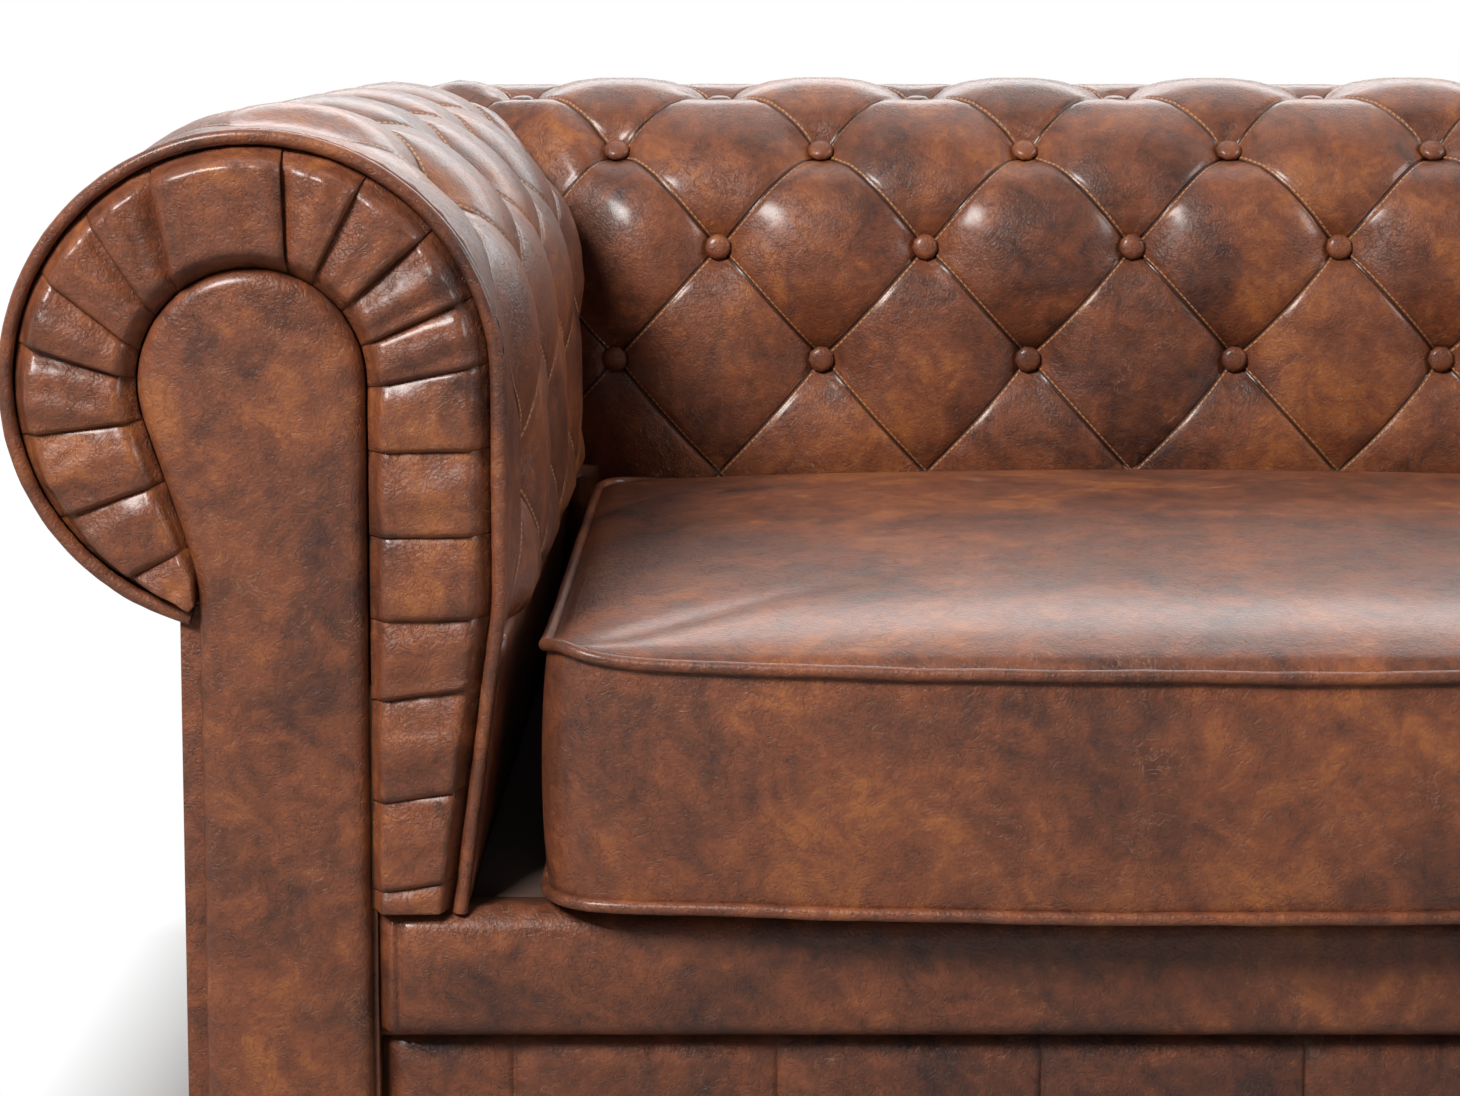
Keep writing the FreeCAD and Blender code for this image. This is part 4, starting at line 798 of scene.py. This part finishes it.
def keyhole_panel():
    """A padded panel with a round head, crowned a little and rolled over at its edge."""
    across, up = 40, 150
    front = FRONT_Y - FACING_DEPTH
    bm = bmesh.new()
    bmesh.ops.create_grid(bm, x_segments=across, y_segments=up, size=0.5)
    top = ROLL_Z + KEYHOLE
    for vert in bm.verts:
        u = 0.5 - 0.5 * math.cos(math.pi * (vert.co.x + 0.5))
        v = vert.co.y + 0.5
        height = BASE_Z + (top - BASE_Z) * math.sin(v * math.pi / 2)
        left = -keyhole_left(height)
        right = KEYHOLE if height < ROLL_Z else -left
        offset = left + (right - left) * u
        if height > ROLL_Z:
            inside = KEYHOLE - math.hypot(offset, height - ROLL_Z)
        else:
            inside = min(right - offset, (offset - left) * math.cos(SLANT))
        over = max(0.0, FACING_ROUND - inside)
        fall = FACING_ROUND - math.sqrt(max(0.0, FACING_ROUND ** 2 - over ** 2))
        y = front + fall + 0.0020 * (1 - ease(inside, 0.0, 0.03))
        y -= 0.0008 * ripple(offset, height, 1.0, 0.06)
        vert.co = (-ARM_X + offset * FACING_SHARE, y, height)
    bmesh.ops.remove_doubles(bm, verts=bm.verts, dist=0.00002)
    close_behind(bm, FRONT_Y)
    return bm


on_both_arms(keyhole_panel(), "_arm_facing", "_arm_front_panel", leather_plain)

# %% Where the pleats fold
# Each fold has its place at the welt and at the panel, in degrees round the roll from the seat
# side. Below the roll a degree goes on as the same travel down the inner leg.
FOLDS_OUTWARD = (
    (113.0, 126.0), (132.2, 142.6), (150.6, 161.6), (168.6, 175.8), (191.3, 196.4),
    (213.7, 226.1), (235.3, 246.5), (254.6, 255.6),
)
FOLDS_INWARD = (
    (83.3, 72.6), (62.0, 60.0), (41.5, 40.5), (22.7, 20.4), (6.3, 1.0), (-13.5, -13.5),
    (-32.9, -32.9), (-52.0, -52.0), (-67.8, -70.7), (-91.7, -94.2), (-112.7, -115.0),
)
LEG_END = math.degrees((BORDER_Z + 0.0005 - ROLL_Z) / ROLL)
LAP_DEGREES = 1.5


def band_ray(outer, inner):
    """The band's point at the panel and at the welt, as offset and height."""
    outer_radius = ROLL - WELT - 0.0003
    if outer >= 0:
        turn = math.radians(outer)
        at_welt = (outer_radius * math.cos(turn), ROLL_Z + outer_radius * math.sin(turn))
    else:
        height = ROLL_Z + math.radians(outer) * ROLL
        at_welt = (face_offset(height) - WELT - 0.0003, height)
    side = KEYHOLE + 0.0004
    turn = math.radians(inner)
    if inner < 0:
        at_panel = (side, ROLL_Z + turn * ROLL)
    elif inner <= 180 + math.degrees(SLANT):
        at_panel = (side * math.cos(turn), ROLL_Z + side * math.sin(turn))
    else:
        reach = max(side / math.cos(turn - math.pi - SLANT), (NECK + 0.0006) / -math.cos(turn))
        at_panel = (reach * math.cos(turn), ROLL_Z + reach * math.sin(turn))
    return at_panel, at_welt


# %% The pleats from one end of the band to the other
def pleat_spans():
    """(from, to, kind) of each pleat; the kind says at which end of it the leather laps."""
    spans = []
    for near, far in list(zip(FOLDS_OUTWARD, FOLDS_OUTWARD[1:]))[::-1]:
        spans.append((far, near, "start"))
    spans.append((FOLDS_OUTWARD[0], FOLDS_INWARD[0], "both"))
    for near, far in zip(FOLDS_INWARD, FOLDS_INWARD[1:]):
        spans.append((near, far, "end"))
    spans.append((FOLDS_INWARD[-1], (LEG_END, LEG_END), "end"))
    return spans


def pleat_height(x, kind):
    """How far a pleat stands out, from 0 to 1 along it towards the fold that laps."""
    if kind == "both":
        edge = min(x, 1 - x)
        return 0.0180 + 0.0015 * math.sin(math.pi * x) - 0.003 * (1 - ease(edge, 0.0, 0.05))
    if kind == "start":
        x = 1 - x
    body = 0.0080 + 0.0070 * x ** 0.6 + 0.0035 * math.sin(math.pi * x)
    return body - 0.0025 * ease(x, 0.95, 1.0)


def pleated_band():
    """The band as one sheet whose folds overhang, closed at the back."""
    spans = pleat_spans()
    steps, across = 22, 26
    bm = bmesh.new()
    bmesh.ops.create_grid(bm, x_segments=len(spans) * steps - 1, y_segments=across, size=0.5)
    columns = len(spans) * steps - 1
    for vert in bm.verts:
        column = round((vert.co.x + 0.5) * columns)
        near, far, kind = spans[column // steps]
        share = column % steps / (steps - 1)
        share = share - 0.7 * math.sin(2 * math.pi * share) / (2 * math.pi)
        v = vert.co.y + 0.5
        lap = 0.0
        if kind in ("end", "both"):
            lap += LAP_DEGREES * ease(share, 0.8, 1.0)
        if kind in ("start", "both"):
            lap -= LAP_DEGREES * ease(1 - share, 0.8, 1.0)
        sign = 1 if near[0] < far[0] else -1
        outer = near[0] + (far[0] - near[0]) * share + lap * sign
        inner = near[1] + (far[1] - near[1]) * share + lap * sign * 1.4
        if outer < LEG_END:
            outer = inner = LEG_END
        last_outer, last_inner = FOLDS_OUTWARD[-1]
        at_panel, at_welt = band_ray(min(outer, last_outer), min(inner, last_inner))
        offset = at_panel[0] + (at_welt[0] - at_panel[0]) * v
        height = at_panel[1] + (at_welt[1] - at_panel[1]) * v
        span = abs(far[0] - near[0])
        tuck = (0.30 + 0.70 * ease(v, 0.0, 0.15)) * (0.12 + 0.88 * ease(1 - v, 0.0, 0.17))
        proud = pleat_height(share, kind) * tuck * min(1.0, 0.55 + span / 30)
        gather = ripple(outer / 6.5, v * 1.1, 4.0, 1.0) * 0.0026
        gather += ripple(outer / 2.4, v * 1.6, 7.0, 1.0) * 0.0011
        proud += gather * math.sin(math.pi * v) ** 0.4 * (0.5 + 0.7 * v)
        proud += 0.0005 * ripple(offset, height, 2.0, 0.010)
        vert.co = (-ARM_X + offset, FRONT_Y - max(0.001, proud), height)
    close_behind(bm, FRONT_Y - 0.0001)
    return bm


on_both_arms(pleated_band(), "_arm_pleats", "_arm_pleated_band", leather_plain, fill=0.3)

# %% The welt round the arm's front
def welt_points(side):
    """From the end of the outer curl over the roll and down to the seat border."""
    radius = ROLL - WELT / 2
    y = FRONT_Y - WELT / 2
    points = []
    steps = 110
    for step in range(steps + 1):
        turn = CURL * (1 - step / steps)
        points.append((radius * math.cos(turn), ROLL_Z + radius * math.sin(turn)))
    height = ROLL_Z
    while height > BORDER_Z + 0.004:
        height -= 0.006
        points.append((face_offset(height) - WELT / 2, height))
    return [(side * (-ARM_X + offset), y, height) for offset, height in points]


for side, sign in (("left", 1), ("right", -1)):
    tube(
        welt_points(sign), WELT / 2, side + "_arm_piping", leather_plain, pucker=0.0005,
        replaces=[side + "_arm_welt"],
    )

# %% [markdown]
# ## Padded rails and plain panels
# The border under the cushions and the base below it are boards under thin padding. Each starts as
# a cube of the frame's own size and is divided finely. A rule then rolls its edges over, and
# another puffs it by how far a point is from its seams.

# %% A slab, divided finely, and its rolled edges
def slab(node, cuts):
    """A closed box of a node's size, cut about every so many metres along each axis."""
    low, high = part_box(node)
    bm = bmesh.new()
    bmesh.ops.create_cube(bm, size=1)
    size = high - low
    bmesh.ops.scale(bm, vec=size, verts=bm.verts)
    bmesh.ops.translate(bm, vec=(low + high) / 2, verts=bm.verts)
    for axis, spacing in enumerate(cuts):
        if spacing:
            divide(bm, axis, low[axis], size[axis], int(size[axis] / spacing))
    return bm, low, high


def rolled(bm, low, high, axis, sign, radius, puff):
    """Rolls a slab's edges over on one side, and moves each point of it out by puff(point)."""
    face_at = high[axis] if sign > 0 else low[axis]
    others = [number for number in range(3) if number != axis]
    for vert in bm.verts:
        if abs(vert.co[axis] - face_at) > 1e-6:
            continue
        inside = min(min(vert.co[k] - low[k], high[k] - vert.co[k]) for k in others)
        over = max(0.0, radius - inside)
        fall = radius - math.sqrt(max(0.0, radius ** 2 - over ** 2))
        vert.co[axis] += sign * (puff(vert.co) * ease(inside, 0.0, radius) - fall)


# %% The border under the cushions
BORDER_SEAM = 0.012


def border_puff(point):
    """Padding of the border, with a groove where its ends are topstitched."""
    low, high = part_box("front_border")
    seam = min(abs(point.x - low.x - BORDER_SEAM), abs(high.x - BORDER_SEAM - point.x))
    up = (point.z - low.z) / (high.z - low.z)
    swell = 0.0030 * math.sin(math.pi * up)
    swell += 0.0010 * ripple(point.x, point.z, 3.0, 0.07)
    return swell - 0.0028 * math.exp(-((seam / 0.0022) ** 2))


bm, low, high = slab("front_border", (0.008, 0.0, 0.005))
for end in (low.x + BORDER_SEAM, high.x - BORDER_SEAM):
    for nudge in (-0.003, -0.0015, 0.0, 0.0015, 0.003):
        cut_across(bm, (end + nudge, 0, 0), (1, 0, 0))
rolled(bm, low, high, 1, -1, 0.010, border_puff)
piece_from(bm, "seat_border", leather_border_painted_shade, replaces=["front_border"], fill=0.7)

# %% The base with its upright seams
SEAM_PITCH = 0.1413


def base_puff(point):
    """Padding of the base between its upright seams."""
    place = point.x / SEAM_PITCH - 0.5
    off = abs(place - round(place)) * SEAM_PITCH
    swell = 0.0022 * ease(off, 0.0, 0.030) + 0.0008 * ripple(point.x, point.z, 7.0, 0.06)
    return swell - 0.0024 * math.exp(-((off / 0.0018) ** 2))


bm, low, high = slab("base_front_panel", (0.012, 0.0, 0.010))
half_count = int(high.x / SEAM_PITCH + 0.5)
for number in range(-half_count, half_count):
    for nudge in (-0.004, -0.002, -0.001, 0.0, 0.001, 0.002, 0.004):
        cut_across(bm, ((number + 0.5) * SEAM_PITCH + nudge, 0, 0), (1, 0, 0))
rolled(bm, low, high, 1, -1, 0.004, base_puff)
piece_from(bm, "base_facing", leather_base_painted_shade, replaces=["base_front_panel"], fill=0.8)

# %% Leather turned round the front edges of the arms' boards
LAP = 0.0014


def turned_in(side):
    """The leather turned round the front edges of an arm's board, beside the keyhole panel."""
    low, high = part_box("left_arm_outside_panel")
    base_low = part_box("base_front_panel")[0]
    laps = (
        ((low.x, FRONT_Y - LAP, low.z), (LAP * 3 - ARM_X - NECK, FRONT_Y, high.z + 0.011)),
        ((panel_high.x - LAP, FRONT_Y - LAP, low.z), (base_low.x, base_low.y + LAP, BORDER_Z)),
    )
    bm = bmesh.new()
    for corner, other in laps:
        corner, other = Vector(corner), Vector(other)
        made = bmesh.ops.create_cube(bm, size=1)["verts"]
        bmesh.ops.scale(bm, vec=other - corner, verts=made)
        bmesh.ops.translate(bm, vec=(corner + other) / 2, verts=made)
    bmesh.ops.bevel(
        bm, geom=bm.edges[:], offset=LAP * 0.45, segments=2, affect="EDGES", profile=0.5,
        material=-1,
    )
    return right_hand(bm) if side == "right" else bm


for side in ("left", "right"):
    piece_from(turned_in(side), side + "_arm_turned_edges", leather_plain)


# %% The outside panels of arms and back
def outside_puff(point):
    """A stretched panel is nearly flat, with a slow wave in it."""
    return 0.0016 * ripple(point.x + point.y, point.z, 5.0, 0.22) + 0.0012


for node, name, axis, sign, cuts in (
    ("left_arm_outside_panel", "left_arm_outside", 0, -1, (0.0, 0.012, 0.012)),
    ("right_arm_outside_panel", "right_arm_outside", 0, 1, (0.0, 0.012, 0.012)),
    ("back_outside_panel", "back_outside", 1, 1, (0.014, 0.0, 0.012)),
):
    bm, low, high = slab(node, cuts)
    rolled(bm, low, high, axis, sign, 0.004, outside_puff)
    piece_from(bm, name, leather_plain, replaces=[node])


# %% The plain panels between the hem and the deck
PANEL_DEPTH = 0.008


def plain_panel(node, place, start, end):
    """Leather drawn straight down behind the cushions, set down by place(offset, along, height)."""
    low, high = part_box(node)
    bm = bmesh.new()
    bmesh.ops.create_cube(bm, size=1)
    divide(bm, 0, -0.5, 1, int((end - start) / 0.014))
    divide(bm, 2, -0.5, 1, 14)
    for vert in bm.verts:
        along = start + (end - start) * (vert.co.x + 0.5)
        height = low.z + (high.z - low.z) * (vert.co.z + 0.5)
        inside = min(along - start, end - along, height - low.z, high.z - height)
        proud = -PANEL_DEPTH
        if vert.co.y > 0:
            proud = 0.0025 * ease(inside, 0.0, 0.030)
            proud += 0.0012 * ripple(along, height, 9.0, 0.11)
        vert.co = Vector(place(face_offset(height) + proud, along, height))
    return bm


side_low, side_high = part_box("left_arm_inner_panel")
back_low, back_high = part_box("back_inner_panel")
panel = plain_panel("back_inner_panel", in_back, back_low.x, back_high.x)
piece_from(panel, "back_plain_panel", leather_plain, replaces=["back_inner_panel"])
panel = plain_panel("left_arm_inner_panel", in_arm, side_low.y, side_high.y)
on_both_arms(panel, "_arm_plain_panel", "_arm_inner_panel", leather_plain)

# %% [markdown]
# ## Covered buttons
# A button is a small dome of metal with a scrap of leather gathered over it, so its rim is
# puckered. The frame's plain buttons say where each one sits and which way it faces: the vertices
# of one button spread least along its own axis.

# %% The buttons of one pad
PUCKERS = 9
PUCKER_SHARE = 0.045
RIM_POINTS = 27
BUTTON_RISE = 0.0065
BUTTON_PROFILE = ((0.86, 0.0), (1.0, 0.20), (1.0, 0.46), (0.90, 0.72), (0.68, 0.90), (0.38, 0.98))


def button_spots(node, centre_line):
    """Foot, outward axis and radius of every button in a node."""
    bm = bmesh.new()
    bm.from_mesh(frame["nodes"][node].data)
    bmesh.ops.remove_doubles(bm, verts=bm.verts, dist=1e-6)
    waiting, spots = dict.fromkeys(bm.verts), []
    while waiting:
        island, frontier = [], [waiting.popitem()[0]]
        while frontier:
            vert = frontier.pop()
            island.append(vert.co.copy())
            for link in vert.link_edges:
                other = link.other_vert(vert)
                if other in waiting:
                    del waiting[other]
                    frontier.append(other)
        cloud = numpy.array([tuple(point) for point in island])
        ways = numpy.linalg.eigh(numpy.cov((cloud - cloud.mean(axis=0)).T))[1]
        middle, axis = Vector(cloud.mean(axis=0)), Vector(ways[:, 0])
        if axis.dot(middle - centre_line(middle)) < 0:
            axis.negate()
        heights = [axis.dot(point - middle) for point in island]
        radius = max((point - middle - axis * up).length for point, up in zip(island, heights))
        spots.append((middle + axis * (max(heights) - BUTTON_RISE), axis, radius))
    bm.free()
    print(node, "has", len(spots), "buttons, %.1f mm across" % (2000 * spots[0][2]))
    return spots


def buttons(node, name, centre_line):
    """Puckered, slightly flattened domes in the places of a node's plain buttons."""
    bm = bmesh.new()
    for foot, axis, radius in button_spots(node, centre_line):
        side = axis.orthogonal().normalized()
        other = axis.cross(side)
        rings = []
        for out, up in BUTTON_PROFILE:
            ring = []
            for number in range(RIM_POINTS):
                turn = 2 * math.pi * number / RIM_POINTS
                fold = PUCKER_SHARE * (1 - up) * math.cos(PUCKERS * turn)
                reach = radius * out * (0.96 + fold)
                spot = foot + axis * (BUTTON_RISE * up)
                ring.append(bm.verts.new(
                    spot + side * (reach * math.cos(turn)) + other * (reach * math.sin(turn))
                ))
            rings.append(ring)
        for one, two in zip(rings, rings[1:]):
            for number in range(RIM_POINTS):
                after = (number + 1) % RIM_POINTS
                bm.faces.new((one[number], one[after], two[after], two[number]))
        bm.faces.new(rings[0][::-1])
        top = bm.verts.new(foot + axis * BUTTON_RISE)
        for number in range(RIM_POINTS):
            bm.faces.new((rings[-1][number], rings[-1][(number + 1) % RIM_POINTS], top))
    return piece_from(bm, name, leather_plain, replaces=[node])


def back_middle(point):
    """The point of the back roll's centre line level with a point."""
    return Vector((point.x, BACK_Y, ROLL_Z))


def arm_middle(point):
    """The point of an arm roll's centre line level with a point."""
    return Vector((math.copysign(ARM_X, point.x), point.y, ROLL_Z))


buttons("back_buttons", "back_covered_buttons", back_middle)
for side in ("left", "right"):
    buttons(side + "_arm_buttons", side + "_arm_covered_buttons", arm_middle)

# %% [markdown]
# ## Finishes of the parts that stay as they are
# Timber, springs, foam, zips, feet and the cloths under the seat keep the frame's shapes. Each gets
# a finish of its own, matched by the material slot that the frame records for it.

# %% Timber, sawn and turned
def wood(name, pale, dark, shine, grain_axis):
    """Wood with its grain along one axis."""
    recipe = Recipe(name)
    factors = [38.0, 38.0, 38.0]
    factors[grain_axis] = 2.2
    where = recipe.stretched(recipe.place(), factors)
    grain = recipe.noise(where, 1.6, 5.0, 0.62, 1.2)
    pores = recipe.noise(where, 9.0, 3.0, 0.7)
    tone = (grain * 0.75 + pores * 0.25).clamped(0.32, 0.68)
    return recipe.finish(
        base_color=recipe.mix(tone, dark, pale),
        roughness=shine + tone * 0.12,
        normal=recipe.bump(grain * 0.5 + pores * 0.5, 0.0004, 0.5),
    )


def plywood(name):
    """Plies seen from the edge and the pale face veneer."""
    recipe = Recipe(name)
    where = recipe.place()
    figure = recipe.noise(recipe.stretched(where, (3.0, 60.0, 14.0)), 1.3, 4.0, 0.6, 0.9)
    plies = recipe.node("ShaderNodeTexWave", {"bands_direction": "Y"}, {
        "Vector": where, "Scale": 190.0, "Distortion": 0.4,
    })
    tone = figure * 0.7 + plies * 0.3
    return recipe.finish(
        base_color=recipe.mix(tone, (0.40, 0.25, 0.12), (0.66, 0.48, 0.28)),
        roughness=0.62 + figure * 0.15,
        normal=recipe.bump(tone, 0.0003, 0.4),
    )


def metal(name, colour, rough, metallic=1.0):
    """Drawn wire and stamped metal with a faint patina."""
    recipe = Recipe(name)
    stain = recipe.noise(recipe.place(), 60.0, 4.0, 0.6)
    dull = tuple(part * 0.55 for part in colour)
    return recipe.finish(
        base_color=recipe.mix(stain.clamped(0.35, 0.7), colour, dull),
        metallic=metallic,
        roughness=rough + stain * 0.2,
        normal=recipe.bump(recipe.noise(recipe.place(), 900.0, 2.0), 0.0001, 0.4),
    )


def weave(name, colour, threads, sheen):
    """A plain woven or felted cloth."""
    recipe = Recipe(name)
    where = recipe.place()
    warp, weft = (
        recipe.node("ShaderNodeTexWave", {"bands_direction": way}, {
            "Vector": where, "Scale": threads,
        })
        for way in "XY"
    )
    cloth = warp.math("MAXIMUM", weft)
    lint = recipe.noise(where, 240.0, 4.0, 0.7)
    pale = tuple(part * 1.7 for part in colour)
    return recipe.finish(
        base_color=recipe.mix(cloth * 0.5 + lint * 0.5, colour, pale),
        roughness=0.85 + lint * 0.1,
        normal=recipe.bump(cloth * 0.6 + lint * 0.4, 0.0004, 0.5),
        sheen_weight=sheen,
    )


def foam(name):
    """Open-cell foam: pale yellow with fine pits, each darker at its middle as painted shade."""
    recipe = Recipe(name)
    where = recipe.place()
    pits = recipe.node("ShaderNodeTexVoronoi", {"feature": "F1"}, {"Vector": where, "Scale": 480.0})
    clouds = recipe.noise(where, 18.0, 3.0)
    # The pits darken the colour towards their middles: painted shade in the pits; they also give
    # the bump.
    tone = pits.clamped(0.1, 0.7) * 0.7 + clouds * 0.3
    return recipe.finish(
        base_color=recipe.mix(tone, (0.52, 0.42, 0.20), (0.80, 0.70, 0.44)),
        roughness=0.9 + clouds * 0.05,
        normal=recipe.bump(pits, 0.0006, 0.7),
    )


def plastic(name, colour):
    """Moulded nylon with a fine satin grain."""
    recipe = Recipe(name)
    grain = recipe.noise(recipe.place(), 700.0, 3.0)
    pale = tuple(part * 1.8 for part in colour)
    return recipe.finish(
        base_color=recipe.mix(grain, colour, pale),
        roughness=0.42 + grain * 0.15,
        normal=recipe.bump(grain, 0.0001, 0.4),
    )


FINISHES = {
    "leather": leather_plain,
    "leather_padded": leather_plain,
    "frame_timber": wood("sawn_timber", (0.52, 0.36, 0.19), (0.30, 0.18, 0.08), 0.6, 0),
    "plywood": plywood("plywood"),
    "foot_wood": wood("stained_beech", (0.060, 0.026, 0.014), (0.020, 0.009, 0.006), 0.28, 2),
    "steel": metal("spring_steel", (0.46, 0.45, 0.43), 0.32),
    "foam": foam("foam"),
    "black_cloth": weave("black_cloth", (0.018, 0.018, 0.020), 900.0, 0.2),
    "deck_felt": weave("deck_felt", (0.030, 0.014, 0.009), 520.0, 0.1),
    "glide_plastic": plastic("glide_plastic", (0.030, 0.030, 0.032)),
    "zip_tape": weave("zip_tape", (0.045, 0.020, 0.013), 1400.0, 0.1),
    "zip_brass": metal("aged_brass", (0.50, 0.36, 0.16), 0.30),
}

# %% The deck's pad: felt under a dark cover, pressed a little hollow by the cushions
def deck_puff(point):
    """Loft of the felt."""
    return 0.0015 * ripple(point.x, point.y, 2.0, 0.12) - 0.0015


bm, low, high = slab("deck_pad", (0.025, 0.025, 0.0))
rolled(bm, low, high, 2, 1, 0.004, deck_puff)
piece_from(
    bm, "deck_padding", FINISHES["deck_felt"], replaces=["deck_pad"], slot="deck_felt", fill=0.4
)

# %% Give every plain part that still shows its finish
slots = {row["node"]: row["material_slot"] for row in frame["record"]["subparts"]}
for node, shown in frame["nodes"].items():
    if not shown.hide_render:
        give(shown, FINISHES[slots[node]])
print("finishes given to", sum(not shown.hide_render for shown in frame["nodes"].values()), "nodes")

# %% [markdown]
# ## Light, floor and camera
# The camera stands low, little higher than the roll, and close to the left arm, as it did for the
# photograph. The floor keeps the shadow, and reads as white to the camera further off.

# %% Floor, white to the camera away from the sofa
def floor_paint():
    """Pale under the sofa, and plain white to the camera further off."""
    recipe = Recipe("floor_paint")
    recipe.finish(base_color=(0.35, 0.35, 0.35), roughness=0.8, specular_ior_level=0.1)
    spot = recipe.node("ShaderNodeSeparateXYZ", {}, {0: recipe.place()})
    x = abs(spot) - SOFA_HALF.x
    y = abs(Shade(recipe, spot.socket.node.outputs[1])) - SOFA_HALF.y
    away = (x.math("MAXIMUM", 0.0) ** 2 + y.math("MAXIMUM", 0.0) ** 2) ** 0.5
    seen = recipe.node("ShaderNodeLightPath")
    rays = seen.socket.node.outputs
    mirrored = Shade(recipe, rays["Is Glossy Ray"]).math(
        "MAXIMUM", Shade(recipe, rays["Is Transmission Ray"])
    )
    white = recipe.node("ShaderNodeEmission", {}, {"Color": (1, 1, 1, 1), "Strength": 1.0})
    paint = Shade(recipe, recipe.shader.outputs[0])
    share = seen * away.clamped(0.0, WHITE_FROM) + mirrored * away.clamped(1.5, 4.0)
    both = recipe.node("ShaderNodeMixShader", {}, {0: share, 1: paint, 2: white})
    output = recipe.tree.nodes["Material Output"]
    recipe.tree.links.new(both.socket, output.inputs["Surface"])
    return recipe.material


SOFA_HALF = Vector(cad_box[1])
WHITE_FROM = 0.12
print("the floor is white to the camera from %.2f m off the sofa" % WHITE_FROM)


# %% The floor
def plane(name, half, z):
    """A flat square on the floor's level."""
    bm = bmesh.new()
    bmesh.ops.create_grid(bm, x_segments=1, y_segments=1, size=half)
    bmesh.ops.translate(bm, verts=bm.verts, vec=(0, 0, z))
    mesh = bpy.data.meshes.new(name)
    bm.to_mesh(mesh)
    bm.free()
    floor = bpy.data.objects.new(name, mesh)
    bpy.context.scene.collection.objects.link(floor)
    give(floor, floor_paint())


plane("floor", 14, -0.0005)

# %% Camera
SENSOR = 36.0
camera_data = bpy.data.cameras.new("camera")
camera_data.sensor_width = SENSOR
camera_data.lens = 68.4
camera_data.shift_x = -0.0166
camera_data.shift_y = -0.200
camera_data.clip_end = 100
camera = bpy.data.objects.new("camera", camera_data)
camera.location = (-0.6487, -1.8224, 0.7722)
camera.rotation_euler = (math.radians(85), 0, 0)
bpy.context.scene.collection.objects.link(camera)
bpy.context.scene.camera = camera


# %% Lamps
def softbox(name, place, aim, width, height, power, tint=(1, 1, 1)):
    """A large soft lamp that points at a place."""
    lamp = bpy.data.lights.new(name, "AREA")
    lamp.shape = "RECTANGLE"
    lamp.size = width
    lamp.size_y = height
    lamp.energy = power
    lamp.color = tint
    holder = bpy.data.objects.new(name, lamp)
    holder.location = place
    holder.rotation_euler = (Vector(aim) - Vector(place)).to_track_quat("-Z", "Y").to_euler()
    bpy.context.scene.collection.objects.link(holder)
    holder.visible_camera = False


softbox("key", (-2.2, -2.55, 2.9), (-0.4, -0.2, 0.4), 1.1, 1.0, 205, (1.0, 0.97, 0.94))
softbox("right", (2.8, -0.7, 2.1), (-0.8, -0.1, 0.5), 1.5, 1.2, 60)
softbox("top", (-0.2, 0.9, 3.3), (-0.2, 0, 0.4), 2.4, 1.6, 18)
softbox("behind", (0.1, 2.7, 2.05), (-0.3, -0.1, 0.5), 4.2, 0.9, 46)


# %% The world, white to the camera
def studio():
    """Dim light from all round; white where the camera or a gloss looks into it."""
    world = bpy.data.worlds.new("studio")
    bpy.context.scene.world = world
    world.use_nodes = True
    tree = world.node_tree
    dim = tree.nodes["Background"]
    dim.inputs["Color"].default_value = (1, 1, 1, 1)
    dim.inputs["Strength"].default_value = 0.08
    white = tree.nodes.new("ShaderNodeBackground")
    white.inputs["Color"].default_value = (1, 1, 1, 1)
    white.inputs["Strength"].default_value = 1.0
    rays = tree.nodes.new("ShaderNodeLightPath").outputs
    way = tree.nodes.new("ShaderNodeTexCoord")
    parts = tree.nodes.new("ShaderNodeSeparateXYZ")
    behind = tree.nodes.new("ShaderNodeMapRange")
    behind.inputs["From Min"].default_value = -0.1
    behind.inputs["From Max"].default_value = 0.4
    gloss = tree.nodes.new("ShaderNodeMath")
    gloss.operation = "MULTIPLY"
    seen = tree.nodes.new("ShaderNodeMath")
    seen.operation = "MAXIMUM"
    clear = tree.nodes.new("ShaderNodeMath")
    clear.operation = "MAXIMUM"
    both = tree.nodes.new("ShaderNodeMixShader")
    for source, target in (
        (way.outputs["Generated"], parts.inputs[0]),
        (parts.outputs["Y"], behind.inputs["Value"]),
        (behind.outputs[0], gloss.inputs[0]),
        (rays["Is Glossy Ray"], gloss.inputs[1]),
        (rays["Is Camera Ray"], seen.inputs[0]),
        (gloss.outputs[0], seen.inputs[1]),
        (seen.outputs[0], clear.inputs[0]),
        (rays["Is Transmission Ray"], clear.inputs[1]),
        (clear.outputs[0], both.inputs[0]),
        (dim.outputs[0], both.inputs[1]),
        (white.outputs[0], both.inputs[2]),
        (both.outputs[0], tree.nodes["World Output"].inputs["Surface"]),
    ):
        tree.links.new(source, target)


studio()
bpy.context.scene.view_settings.view_transform = "Standard"
